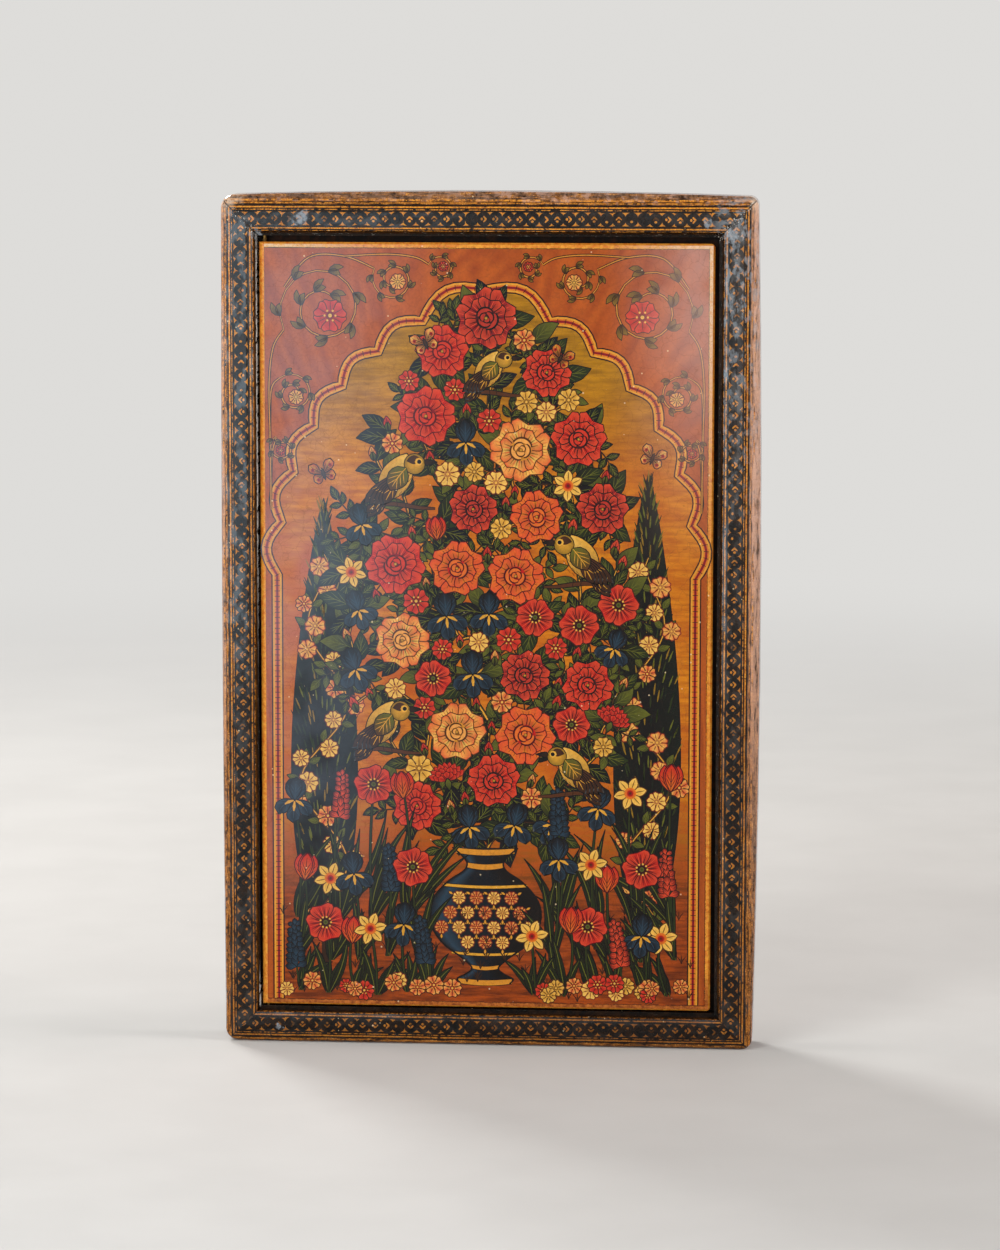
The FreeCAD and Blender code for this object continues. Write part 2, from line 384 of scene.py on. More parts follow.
# %%
def old_varnish_group():
    wires, put_out = new_group(
        "old varnish",
        {
            "Place": ("vector", None),
            "Colour": ("colour", AMBER),
            "Crackle": ("value", 0.5),
            "Dust": ("value", 0.5),
            "Stain": ("value", 0.5),
        },
        {"Colour": "colour", "Roughness": "value", "Height": "value"},
    )
    place = wires["Place"]
    cloud = place.noise(0.045, 3.0, 0.6)
    stain = place.noise(0.35, 4.0, 0.62).ramp(0.58, 0.8)
    bent = place.node("ShaderNodeVectorMath", operation="ADD")
    feed(bent.inputs[0], place)
    wobble = place.node("ShaderNodeTexNoise")
    feed(wobble.inputs["Vector"], place)
    feed(wobble.inputs["Scale"], 0.5)
    feed(bent.inputs[1], Wire(wobble.outputs["Color"]).scaled(1.6, 1.6, 1.6))
    bent = Wire(bent.outputs[0])
    web = Wire(bent.cells(0.3, "DISTANCE_TO_EDGE").outputs["Distance"])
    net = Wire(bent.cells(0.85, "DISTANCE_TO_EDGE").outputs["Distance"])
    patchy = place.noise(0.06, 2.0).ramp(0.42, 0.66)
    cracks = web.ramp(0.03, 0.0).over(net.ramp(0.05, 0.0) * patchy) * wires["Crackle"]
    grains = place.cells(0.42)
    chance = Wire(grains.outputs["Color"]).xyz()[0]
    size = chance.ramp(0.6, 1.0) * 0.13
    speck = Wire(grains.outputs["Distance"]).ramp(size, size * 0.55) * chance.ramp(0.6, 0.66)
    speck = speck * wires["Dust"]
    shade = 1.06 - cloud * 0.22 - stain * wires["Stain"] * 0.3
    node = place.node("ShaderNodeMix", data_type="RGBA", blend_type="MULTIPLY")
    feed(node.inputs[0], 1.0)
    feed(node.inputs[6], wires["Colour"])
    feed(node.inputs[7], vector_of(shade, shade * 0.985, shade * 0.96))
    colour = (cracks * 0.5).mix(Wire(node.outputs[2]), UMBER)
    colour = (speck * 0.8).mix(colour, pigment(236, 206, 160))
    swell = place.noise(0.22, 2.0, 0.5) * 0.75 + place.noise(1.6, 2.0, 0.5) * 0.1
    height = swell - cracks * 0.12 + speck * 0.4
    rough = 0.1 + cloud * 0.12 + cracks * 0.2 + speck * 0.3
    return put_out(colour=colour, roughness=rough, height=height)


old_varnish = old_varnish_group()
print("groups", [group.name for group in bpy.data.node_groups])

# %% [markdown]
# ## Materials
# A varnished paint has two surfaces: the paint itself, which scatters light, and the clear coat over
# it, which mirrors the room. In the Principled BSDF these are the base and the coat. The paint hardly
# shines by itself under varnish, so its own specular level is low.


# %%
def new_material(name, **values):
    """A material with a Principled BSDF, and the place of each point in millimetres as a wire."""
    material = bpy.data.materials.new(name)
    material.use_nodes = True
    tree = material.node_tree
    shader = next(node for node in tree.nodes if node.type == "BSDF_PRINCIPLED")
    for label, value in values.items():
        shader.inputs[label.replace("_", " ")].default_value = value
    where = tree.nodes.new("ShaderNodeTexCoord")
    place = Wire(where.outputs["Object"]).scaled(1 / MM, 1 / MM, 1 / MM)
    return material, shader, place


def bump(shader, height, depth_mm, strength=1.0):
    node = height.node("ShaderNodeBump")
    feed(node.inputs["Height"], height)
    node.inputs["Distance"].default_value = depth_mm * MM
    node.inputs["Strength"].default_value = strength
    shader.id_data.links.new(node.outputs["Normal"], shader.inputs["Normal"])


LACQUER = {"Coat_Weight": 0.24, "Coat_Roughness": 0.1, "Coat_IOR": 1.5, "Specular_IOR_Level": 0.1}
WORN_LACQUER = {"Coat_Roughness": 0.1, "Coat_IOR": 1.5, "Specular_IOR_Level": 0.16}


def bloom(place, colour):
    """Painted sheen for the lamps' reflection in the varnish: bluish at left, pink at top right."""
    x, y, z = place.xyz()
    patchy = place.noise(0.05, 3.0, 0.6).ramp(0.3, 0.62)
    left = x.ramp(-14.0, -52.0) * z.ramp(20.0, 80.0) * (patchy * 0.7 + 0.3)
    right = x.ramp(30.0, 64.0) * z.ramp(130.0, 215.0) * (patchy * 0.5 + 0.5)
    colour = (left * 0.17).mix(colour, pigment(150, 164, 184))
    return (right * 0.34).mix(colour, pigment(240, 204, 196))


def varnish(shader, place, colour, crackle=0.5, dust=0.5, stain=0.5, depth=0.05, relief=None):
    """Lays the old varnish over a colour. relief is the height of what it covers."""
    out = use(old_varnish, place, colour=colour, crackle=crackle, dust=dust, stain=stain)
    feed(shader.inputs["Base Color"], out["Colour"])
    feed(shader.inputs["Roughness"], out["Roughness"])
    bump(shader, out["Height"] + relief if relief else out["Height"], depth)


def rule(place, colour, gilt, across, lines):
    """Draws gold lines over a colour. Each is given by its middle, its width and its wear."""
    for middle, width, wear in lines:
        line = use(ruled_line, place, across=across, middle=middle, width=width, wear=wear)
        colour = line["Mask"].mix(colour, gilt)
    return colour


def gold_dust(place, scale, size, share):
    """Flecks of gold, one in every cell whose lot is above the share."""
    flecks = place.cells(scale)
    chosen = Wire(flecks.outputs["Color"]).xyz()[1].ramp(share, share + 0.05)
    return Wire(flecks.outputs["Distance"]).ramp(size, size / 2) * chosen


def inset_from(low, high, x, z):
    """How far a place lies inside the nearest edge of a board."""
    return (x - low.x).under(high.x - x).under((z - low.z).under(high.z - z))


# %% [markdown]
# ### The painted frame
# All four rails share one material. The distance from the opening's edge is the larger of the
# distances past its left and right sides and past its head and foot, so the lines turn the corner on
# the mitre by themselves. From the opening outwards come the dark hollow, two gold lines, the chain,
# two gold lines and the brown roll with its worn gilding. The side walls are red-brown.


# %%
rail_width = right_high.x - inner_right - 2.0
CHAIN_MIDDLE = 4.9
FACE_LINES = ((1.5, 0.24, 0.7), (2.22, 0.36, 0.56), (7.44, 0.22, 0.68), (8.15, 0.4, 0.5))
ROLL_LINES = ((9.3, 0.26, 0.66), (10.1, 0.5, 0.66))
# Where the paint is lost: across, up, and how wide.
LOSSES = (
    (-53.3, 236.0, 2.6), (-66.0, 231.0, 2.0), (67.5, 231.5, 2.4), (61.0, 234.5, 1.3), (-60.5, 5.0, 1.2)
)


def frame_material():
    material, shader, place = new_material("frame_paint", **WORN_LACQUER)
    x, y, z = place.xyz()
    beside = (inner_left - x).over(x - inner_right)
    above = (inner_bottom - z).over(z - inner_top)
    across = beside.over(above)
    flat = (above - beside).math("GREATER_THAN", 0.0)
    along = z + flat * (x - z)
    fine = place.noise(0.5, 4.0, 0.6)
    stretched = vector_of(along * 0.22, across * 1.6, y * 1.6 + flat * 50.0)
    streaks = stretched.noise(0.9, 4.0, 0.65)
    grit = place.noise(2.2, 3.0, 0.6)

    hollow = fine.ramp(0.35, 0.7).mix(pigment(13, 11, 10), pigment(38, 23, 12))
    chain = use(chain_border, place, along=along, across=across - CHAIN_MIDDLE)
    gilt = grit.ramp(0.35, 0.7).mix(pigment(240, 160, 54), pigment(182, 96, 30))
    # The gold darkens towards the foot and in patches: partly painted shade, as the light falls off
    # downwards, and partly dull, worn gold.
    shade_and_wear_low = z.ramp(200.0, 0.0) * 0.5 + place.noise(0.03, 2.0).ramp(0.4, 0.7) * 0.3
    gilt = shade_and_wear_low.mix(gilt, pigment(104, 56, 24))
    colour = (chain["Gold"] * grit.ramp(0.2, 0.5)).mix(hollow, gilt)
    colour = rule(place, colour, gilt, across, FACE_LINES)
    roll = streaks.ramp(0.4, 0.62).mix(pigment(40, 22, 10), pigment(140, 82, 30))
    roll = (grit * streaks).ramp(0.29, 0.38).mix(roll, pigment(214, 144, 66))
    roll = (fine * grit).ramp(0.33, 0.42).mix(roll, pigment(22, 14, 8))
    roll = rule(place, roll, gilt, across, ROLL_LINES)
    upright = 1.0 - flat
    # Painted sheen and wear: pale pinkish streaks on the outer roll stand for the lamps' reflection in
    # the varnish, with some rubbed varnish. They are strongest high up on the side rails and on the
    # right, with patches high on the top rail.
    rub = streaks.ramp(0.3, 0.56) * (across.ramp(9.5, 9.9) * 0.55 + 0.4 * x.ramp(0.0, 4.0))
    sheen_higher_up = upright * z.ramp(20.0, 170.0)
    rub = rub * (sheen_higher_up + flat * z.ramp(200.0, 230.0) * fine.ramp(0.5, 0.62) * 0.6)
    roll = (rub * 0.9).mix(roll, pigment(212, 168, 148))
    colour = across.ramp(8.75, 8.95).mix(colour, roll)
    # Painted glints: small pale flecks in the dark hollow along the opening, more of them higher up,
    # stand for light catching the varnish.
    glints = vector_of(along * 0.7, across * 5.0, flat * 9.0).noise(0.8, 3.0, 0.7)
    deep = across.ramp(1.2, 1.0) * glints.ramp(0.62, 0.68) * z.ramp(-20.0, 120.0)
    colour = (deep * 0.7).mix(colour, pigment(150, 146, 138))
    # Painted highlight: a broken white line along the left rail's inner arris, strongest in its upper
    # part and at its foot, stands for lamp light glinting on the edge.
    arris_glint = across.ramp(0.95, 0.75) * across.ramp(0.3, 0.5) * upright * x.ramp(0.0, -4.0)
    arris_glint = arris_glint * glints.ramp(0.42, 0.5) * (z.ramp(100.0, 170.0) * 0.8 + z.ramp(24.0, 12.0))
    colour = arris_glint.mix(colour, pigment(226, 226, 222))
    # Painted reflection: a streaky bluish-grey sheen over the upper part of the right rail.
    right_rail_sheen = vector_of(along * 0.35, across * 0.7, 3.0).noise(0.9, 3.0, 0.6).ramp(0.5, 0.62)
    right_rail_sheen = right_rail_sheen * x.ramp(60.0, 66.0) * z.ramp(120.0, 225.0) * across.ramp(1.2, 1.6)
    colour = (right_rail_sheen * 0.42).mix(colour, pigment(158, 168, 178))
    wall = fine.ramp(0.3, 0.75).mix(pigment(104, 36, 20), pigment(52, 20, 12))
    wall = streaks.ramp(0.62, 0.8).mix(wall, pigment(160, 84, 44))
    at_side = y.ramp(-5.0, -3.8) * across.ramp(9.9, 10.4)
    colour = at_side.mix(colour, wall)
    corner = (beside - (rail_width + 1.0)).under(0.0) + (above - (rail_width + 1.0)).under(0.0)
    patchy = place.noise(0.16, 3.0, 0.6)
    worn = (corner + (patchy - 0.5) * 26.0).ramp(-9.0, -1.0) * z.ramp(120.0, 200.0)
    for loss_x, loss_z, size in LOSSES:
        off = ((x - loss_x) * (x - loss_x) + (z - loss_z) * (z - loss_z)).root() + (fine - 0.5) * 6.0
        worn = worn.over(off.ramp(size, size * 0.5))
    rubbed = place.noise(0.9, 3.0, 0.7).ramp(0.36, 0.6)
    bare = across.ramp(7.5, 9.0).mix(pigment(150, 156, 164), pigment(222, 192, 166))
    colour = (worn * (rubbed * 0.7 + 0.15)).mix(colour, bare)
    flakes = abs(beside - above).ramp(2.2, 0.6) * grit.ramp(0.6, 0.66) * z.ramp(150.0, 220.0)
    colour = flakes.mix(colour, pigment(232, 220, 206))
    edge = across.ramp(9.4, 11.0) * y.ramp(-4.0, -5.5) * rubbed
    colour = (edge * 0.35).mix(colour, pigment(178, 130, 96))
    seam = abs(beside - above).ramp(0.34, 0.05) * across.ramp(-0.5, 0.3)
    seam = seam * place.noise(0.5, 2.0).ramp(0.3, 0.5)
    colour = (seam * 0.85).mix(colour, pigment(26, 16, 10))
    raised = (1.0 - grit) * 0.12 - seam * 0.8 + chain["Gold"] * 0.1
    varnish(shader, place, colour, dust=0.7, stain=0.6, depth=0.09, relief=raised)
    glaze = vector_of(along * 0.5, across, y + flat * 30.0).noise(0.34, 3.0, 0.6)
    glaze = (glaze.ramp(0.46, 0.62) * 0.7 + 0.16) * across.ramp(0.6, 1.3)
    feed(shader.inputs["Coat Weight"], glaze * (1.0 - flat * 0.5))
    return material


def dress(material, *names):
    """Gives one material to the named pieces of the construction."""
    for name in names:
        nodes[name].data.materials.clear()
        nodes[name].data.materials.append(material)


SIDES = ("top", "bottom", "left", "right")
dress(frame_material(), *["frame_rail_" + side for side in SIDES])


# %% [markdown]
# ### Board edges, back, paper, gilding and brass
# The pieces inside are plainer. The edges of the shutter carry the bright orange gold that frames the
# picture. The back of the case is covered with a speckled ground in which gold dust floats under the
# varnish, with ruled lines round it.


# %%
def edge_material():
    material, shader, place = new_material("shutter_edge_gold", **LACQUER)
    worn = place.noise(0.9, 4.0, 0.65)
    colour = worn.ramp(0.3, 0.7).mix(pigment(190, 112, 36), pigment(128, 62, 22))
    colour = place.noise(1.7, 3.0, 0.6).ramp(0.58, 0.7).mix(colour, pigment(62, 30, 14))
    front = place.xyz()[1].ramp(-3.1, -3.7)
    colour = front.mix(colour, worn.ramp(0.3, 0.7).mix(pigment(240, 164, 62), pigment(214, 110, 34)))
    varnish(shader, place, colour, crackle=0.4, dust=0.5, depth=0.04)
    return material


def back_material():
    material, shader, place = new_material("back_speckle", **LACQUER)
    x, y, z = place.xyz()
    middle_z = (back_low.z + back_high.z) / 2
    half_x, half_z = back_high.x - 1.5, middle_z - 0.2
    inset = (half_x - abs(x)).under(half_z - abs(z - middle_z))
    drift = place.noise(0.05, 4.0, 0.6)
    ground = drift.ramp(0.3, 0.72).mix(pigment(104, 34, 18), pigment(52, 18, 12))
    dust = gold_dust(place, 1.5, 0.16, 0.45) * place.noise(0.12, 3.0).ramp(0.36, 0.6)
    gilt = pigment(206, 138, 56)
    colour = dust.mix(ground, gilt)
    border = inset.ramp(8.6, 8.4)
    colour = border.mix(colour, pigment(24, 17, 13))
    along = z + (half_x - abs(x) - half_z + abs(z - middle_z)).math("GREATER_THAN", 0.0) * (x - z)
    chain = use(chain_border, place, along=along, across=inset - 5.4)
    colour = (chain["Gold"] * border).mix(colour, gilt)
    colour = rule(place, colour, gilt, inset, ((2.4, 0.5, 0.5), (8.2, 0.5, 0.5), (9.3, 0.3, 0.5)))
    edge = inset.ramp(1.7, 1.3)
    colour = (edge * place.noise(0.7, 3.0).ramp(0.3, 0.6)).mix(colour, pigment(96, 44, 22))
    varnish(shader, place, colour, crackle=0.6, dust=0.3, depth=0.06)
    return material


def paper_material():
    material, shader, place = new_material("backing_paper", Roughness=0.9)
    fibre = place.scaled(1.0, 1.0, 0.3).noise(1.2, 4.0, 0.7)
    colour = fibre.ramp(0.3, 0.7).mix(pigment(176, 152, 112), pigment(140, 112, 76))
    feed(shader.inputs["Base Color"], colour)
    bump(shader, fibre, 0.03)
    return material


def gilt_material():
    material, shader, place = new_material("slip_gilding", Specular_IOR_Level=0.2)
    worn = place.noise(0.5, 4.0, 0.65)
    x, y, z = place.xyz()
    corners = Vector((inner_left, 0, inner_bottom)), Vector((inner_right, 0, inner_top))
    # Within 2.5 mm of the rails the slips are dark brown, not gilt. This band is what shows through the
    # gap round the shutter, and its darkness is painted shade in that gap.
    gap_shade_band = inset_from(*corners, x, z).ramp(2.7, 2.5)
    bole = worn.ramp(0.56, 0.68)
    colour = bole.mix(pigment(198, 138, 60), pigment(128, 46, 24))
    brown = worn.ramp(0.4, 0.7).mix(pigment(22, 13, 9), pigment(52, 28, 15))
    feed(shader.inputs["Base Color"], gap_shade_band.mix(colour, brown))
    feed(shader.inputs["Metallic"], (0.85 - bole * 0.8) * (1.0 - gap_shade_band))
    feed(shader.inputs["Roughness"], 0.3 + worn * 0.25 + gap_shade_band * 0.4)
    bump(shader, place.noise(1.4, 3.0), 0.03)
    return material


def brass_material():
    material, shader, place = new_material("pin_brass", Metallic=1.0)
    dull = place.noise(1.4, 3.0, 0.6)
    colour = dull.ramp(0.35, 0.7).mix(pigment(104, 76, 38), pigment(48, 33, 18))
    feed(shader.inputs["Base Color"], colour)
    feed(shader.inputs["Roughness"], 0.25 + dull * 0.3)
    bump(shader, place.noise(3.0, 2.0), 0.01)
    return material


def foil_material():
    material, shader, place = new_material("tin_foil", Metallic=1.0)
    spots = place.noise(0.35, 4.0, 0.7).ramp(0.66, 0.76)
    feed(shader.inputs["Base Color"], spots.mix(pigment(226, 226, 222), pigment(120, 108, 92)))
    feed(shader.inputs["Roughness"], 0.04 + spots * 0.3)
    return material


def glass_material():
    material, shader, place = new_material(
        "mirror_glass", Roughness=0.01, IOR=1.5, Transmission_Weight=1.0
    )
    shader.inputs["Base Color"].default_value = (0.93, 0.96, 0.93, 1.0)
    bump(shader, place.noise(0.03, 1.0), 0.02)
    return material


dress(edge_material(), "shutter_board")
dress(back_material(), "back_board")
dress(paper_material(), "backing_paper")
tin = foil_material()
dress(tin, "tin_foil")
dress(glass_material(), "mirror_glass")
dress(gilt_material(), *["mirror_slip_" + side for side in SIDES])
pivots = [f"pivot_{piece}_{side}" for piece in ("pin", "ferrule") for side in SIDES[:2]]
dress(brass_material(), *pivots)
print("materials", len(bpy.data.materials))

# %% [markdown]
# The tin sticks to the back of the glass, so the two surfaces touch. Two faces at exactly the same
# depth confuse the renderer, which may look past the tin. A thin sheet of tin that lies a fiftieth of
# a millimetre inside the glass settles it.

# %%
SHEET_MARGIN, SHEET_DEPTH = 0.1, 0.02


def new_piece(name, spots, faces, material):
    """Makes a piece from its points, its faces and its material."""
    mesh = bpy.data.meshes.new(name)
    mesh.from_pydata(spots, [], faces)
    mesh.materials.append(material)
    piece = bpy.data.objects.new(name, mesh)
    bpy.context.scene.collection.objects.link(piece)
    return piece


def silvering():
    low, high = box_mm("mirror_glass")
    left, right = low.x + SHEET_MARGIN, high.x - SHEET_MARGIN
    foot, head = low.z + SHEET_MARGIN, high.z - SHEET_MARGIN
    corners = ((left, foot), (right, foot), (right, head), (left, head))
    spots = [(x * MM, (high.y - SHEET_DEPTH) * MM, z * MM) for x, z in corners]
    piece = new_piece("silvering", spots, [(0, 1, 2, 3)], tin)
    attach(piece, "case")
    return piece


mirror_back = silvering()
print("silvering is", SHEET_DEPTH, "mm inside the glass")

# %% [markdown]
# ## The picture
# A picture could be an image, or one large shader. Here it is painted the way the painter paints
# it: thin films of colour, one over the other. Each brush mark is a small flat mesh with a colour
# at each point. A point of the picture is one complex number, whose real part runs across and whose
# imaginary part runs up, because turning and scaling a motif is then one multiplication. A `Film`
# collects the marks. Each mark has a coat number, and each coat lies a thousandth of a millimetre
# over the last, so later ones cover earlier ones. A shared `relief` remembers how many coats lie on
# each spot of the board, so that a new motif starts just above whatever it covers.


# %%
COAT = 0.001
TURN = 2 * math.pi
CELL = 0.6
OUTLINE = 0.3


def heading(degrees):
    return cmath.exp(1j * math.radians(degrees))


class Film:
    """Brush marks on the picture's plane, before they are laid on a board."""

    def __init__(self, relief=None):
        self.points = []
        self.coats = []
        self.colours = []
        self.faces = []
        self.relief = {} if relief is None else relief
        self.top = 0

    def patch(self, rows, colours, coat):
        """A sheet of faces between rows of points, with a colour for each point."""
        start, wide = len(self.points), len(rows[0])
        for row, tints in zip(rows, colours):
            self.points += row
            self.colours += tints
            self.coats += [coat] * wide
        for i in range(len(rows) - 1):
            for j in range(wide - 1):
                at = start + i * wide + j
                self.faces.append((at, at + 1, at + wide + 1, at + wide))
        self.top = max(self.top, coat + 1)

    def add(self, other):
        """Lays a finished motif over all that it covers."""
        tops = {}
        for face in other.faces:
            across = [other.points[i].real // CELL for i in face]
            up = [other.points[i].imag // CELL for i in face]
            coat = max(other.coats[i] for i in face) + 1
            for i in range(int(min(across)), int(max(across)) + 1):
                for k in range(int(min(up)), int(max(up)) + 1):
                    tops[i, k] = max(tops.get((i, k), 0), coat)
        base = max(self.relief.get(cell, 0) for cell in tops)
        start = len(self.points)
        self.points += other.points
        self.colours += other.colours
        self.coats += [base + coat for coat in other.coats]
        self.faces += [tuple(start + i for i in face) for face in other.faces]
        self.relief.update((cell, base + coat) for cell, coat in tops.items())
        self.top = max(self.top, base + other.top)

    def paint(self, motif, *values, **settings):
        """Makes one motif by itself and lays it over the rest."""
        one = Film()
        motif(one, *values, **settings)
        self.add(one)


# %% [markdown]
# ### Three brush marks
# Nearly all of the picture is made with three marks. A stroke is a line that swells and thins. A
# blade is a leaf or petal on a bent spine, with its own shading, veins and outline. A disc is a round
# spot that may be darker at its rim.


# %%
def stroke(film, points, width, colour, coat, blunt=0.6, tip=None):
    """A line along points that is widest in its middle and thin at both ends."""
    rows, tints = [], []
    last = len(points) - 1
    for i, point in enumerate(points):
        along = points[min(i + 1, last)] - points[max(i - 1, 0)]
        normal = 1j * along / max(abs(along), 1e-9)
        half = width / 2 * max(math.sin(math.pi * (0.06 + 0.88 * i / last)), 0.0) ** blunt
        rows.append([point - normal * half, point + normal * half])
        tints.append([blend(colour, tip or colour, i / last)] * 2)
    film.patch(rows, tints, coat)


def stalk(film, points, width, edge, dark, colour, coat=0, blunt=0.3, tip=None):
    """A line with a dark edge: one stroke over a broader one."""
    stroke(film, points, width + edge, dark, coat, blunt=blunt)
    stroke(film, points, width, colour, coat + 1, blunt=blunt, tip=tip)


def spine_point(base, direction, length, bend, share):
    if abs(bend) < 1e-6:
        return base + direction * length * share
    return base + direction * length * (cmath.exp(1j * bend * share) - 1) / (1j * bend)


def spine(base, direction, length, bend, steps):
    """Evenly spaced points along a bent line, both ends included."""
    return [spine_point(base, direction, length, bend, i / steps) for i in range(steps + 1)]


def blade(
    film, base, direction, length, width, root, tip, coat,
    bend=0.0, full=1.0, blunt=1.0, notch=0.0, rim=None, line=None, weight=OUTLINE,
    veins=0, vein=None, rows=6,
):
    """A leaf or petal. full above 1 puts its widest part nearer the tip, blunt below 1 rounds it,
    and notch cuts a bay into the tip."""
    left, middle, right, tints = [], [], [], []
    end = 0.9 if notch else 1.0
    for i in range(rows + 1):
        share = i / rows
        half = width / 2 * max(math.sin(math.pi * (share * end) ** full), 0.0) ** blunt
        spot = spine_point(base, direction, length, bend, share)
        normal = 1j * direction * cmath.exp(1j * bend * share)
        left.append(spot + normal * half)
        middle.append(spine_point(base, direction, length, bend, share * (1 - notch * share**3)))
        right.append(spot - normal * half)
        tint = blend(root, tip, share)
        edge = blend(tint, rim, 0.3 + 0.7 * share) if rim else tint
        tints.append([edge, tint, edge])
    film.patch([list(row) for row in zip(left, middle, right)], tints, coat)
    if veins:
        for i in range(1, veins + 1):
            start = int(i / (veins + 1) * rows * 0.7)
            stop = min(start + max(rows // 3, 1), rows - 1)
            for side in (left, right):
                near, far = middle[start], middle[stop] + (side[stop] - middle[stop]) * 0.8
                spots = [near, (near + far) / 2 + direction * 0.04, far]
                stroke(film, spots, weight * 0.7, vein, coat + 1)
        stroke(film, middle[:-1], weight * 0.9, vein, coat + 1)
    if line:
        stroke(film, left + middle[-1:] + right[::-1], weight, line, coat + 1, blunt=0.2)


def disc(film, centre, radius, inside, outside, coat, sides=12):
    rings = []
    for share in (0.0, 0.6, 1.0):
        rings.append([centre + radius * share * heading(360 * i / sides) for i in range(sides + 1)])
    tints = [[blend(inside, outside, share)] * (sides + 1) for share in (0.0, 0.5, 1.0)]
    film.patch(rings, tints, coat)


# %% [markdown]
# ### Flowers
# Every flower is a ring or a fan of blades. Neighbours in a ring overlap, so they take turns on two or
# three coats. Short strokes from the heart outwards, dark and light in turn, give the petals their
# folds. A rose has two rings of notched petals, and its cup is a set of crescents, each over a dark
# line, wound round the heart.


# %%
def petals(
    film, centre, count, reach, length, width, turn, coat, root, tip, rim, line,
    full=1.9, blunt=0.62, notch=0.0, folds=3, spread=0.3,
):
    """Petals round a centre, from reach outwards. Returns the next free coat."""
    for k in range(count):
        layer = 2 if k == count - 1 and count % 2 else k % 2
        direction = cmath.exp(1j * (turn + TURN * k / count))
        base = centre + direction * reach
        level = coat + layer * 3
        blade(
            film, base, direction, length, width, root, tip, level,
            full=full, blunt=blunt, notch=notch, rim=rim, line=line,
        )
        for j in range(folds):
            way = direction * cmath.exp(1j * (j - (folds - 1) / 2) * spread)
            tone, long = (line, 0.84) if j % 2 == 0 else (rim or tip, 0.92)
            spots = [base + way * length * share for share in (0.12, long * 0.6, long)]
            stroke(film, spots, 0.26, tone, level + 1)
    return coat + 9


def rose(film, centre, size, turn, light, deep, dark, rim=CORAL):
    coat = petals(
        film, centre, 5, size * 0.12, size * 0.92, size * 1.18, turn, 0,
        deep, light, rim, dark, notch=0.14, folds=7, spread=0.15,
    )
    coat = petals(
        film, centre, 5, size * 0.06, size * 0.66, size * 0.86, turn + 0.6, coat,
        dark, light, rim, dark, notch=0.12, folds=5, spread=0.2,
    )
    disc(film, centre, size * 0.38, dark, deep, coat)
    for k in range(6):
        reach = size * (0.37 - 0.055 * k)
        middle = turn + 2.4 * k
        arc = [centre + reach * cmath.exp(1j * (middle + 0.26 * j)) for j in range(-4, 5)]
        crest = [p - (p - centre) * 0.1 for p in arc]
        stroke(film, arc, size * 0.2, dark, coat + 1 + 2 * k, blunt=0.5)
        stroke(film, crest, size * 0.13, blend(light, rim, 0.4), coat + 2 + 2 * k)
    disc(film, centre, size * 0.07, STRAW, dark, coat + 13, sides=8)


def stamens(film, centre, count, reach, size, coat):
    for k in range(count):
        disc(film, centre + reach * heading(360 * k / count), size, CREAM, STRAW, coat, sides=6)


def blossom(film, centre, size, turn, petal, rim, heart, count=5):
    coat = petals(
        film, centre, count, size * 0.08, size * 0.92, size * 1.04, turn, 0,
        blend(petal, heart, 0.4), petal, rim, blend(BROWN, heart, 0.5), notch=0.1, folds=1,
    )
    disc(film, centre, size * 0.3, heart, blend(heart, petal, 0.5), coat, sides=10)
    stamens(film, centre, 6, size * 0.34, size * 0.075, coat + 1)
    disc(film, centre, size * 0.12, STRAW, CREAM, coat + 1, sides=8)


def narcissus(film, centre, size, turn):
    coat = petals(
        film, centre, 6, size * 0.1, size * 0.92, size * 0.56, turn, 0, STRAW, CREAM, CREAM, BROWN,
        full=1.0, blunt=0.8, folds=1,
    )
    disc(film, centre, size * 0.36, SCARLET, ORANGE, coat)
    disc(film, centre, size * 0.2, UMBER, SCARLET, coat + 1, sides=10)


def poppy(film, centre, size, turn):
    coat = petals(
        film, centre, 4, size * 0.04, size * 0.98, size * 1.36, turn, 0, WINE, SCARLET, CORAL, WINE,
        full=1.6, blunt=0.55, notch=0.06, folds=7, spread=0.2,
    )
    disc(film, centre, size * 0.33, BLACK, WINE, coat)
    stamens(film, centre, 9, size * 0.3, size * 0.06, coat + 1)
    disc(film, centre, size * 0.13, MOSS, OLIVE, coat + 2, sides=8)


def fan(film, base, up, blades, length, width, root, tip, rim, line, vein, full=1.2, blunt=0.8):
    """Petals that spread from one point. Each is given by its lean and its bend."""
    for k, (lean, bend) in enumerate(blades):
        blade(
            film, base, up * cmath.exp(1j * lean), length, width, root, tip, 3 * k,
            bend=bend, full=full, blunt=blunt, rim=rim, line=line, veins=2, vein=vein,
        )


def tulip(film, base, size, turn, petal=SCARLET, flame=ORANGE):
    spread = ((-0.5, 0.5), (0.5, -0.5), (-0.2, 0.3), (0.2, -0.3), (0.0, 0.0))
    up = cmath.exp(1j * turn)
    fan(film, base, up, spread, size * 1.5, size * 0.66, flame, petal, petal, WINE, WINE)


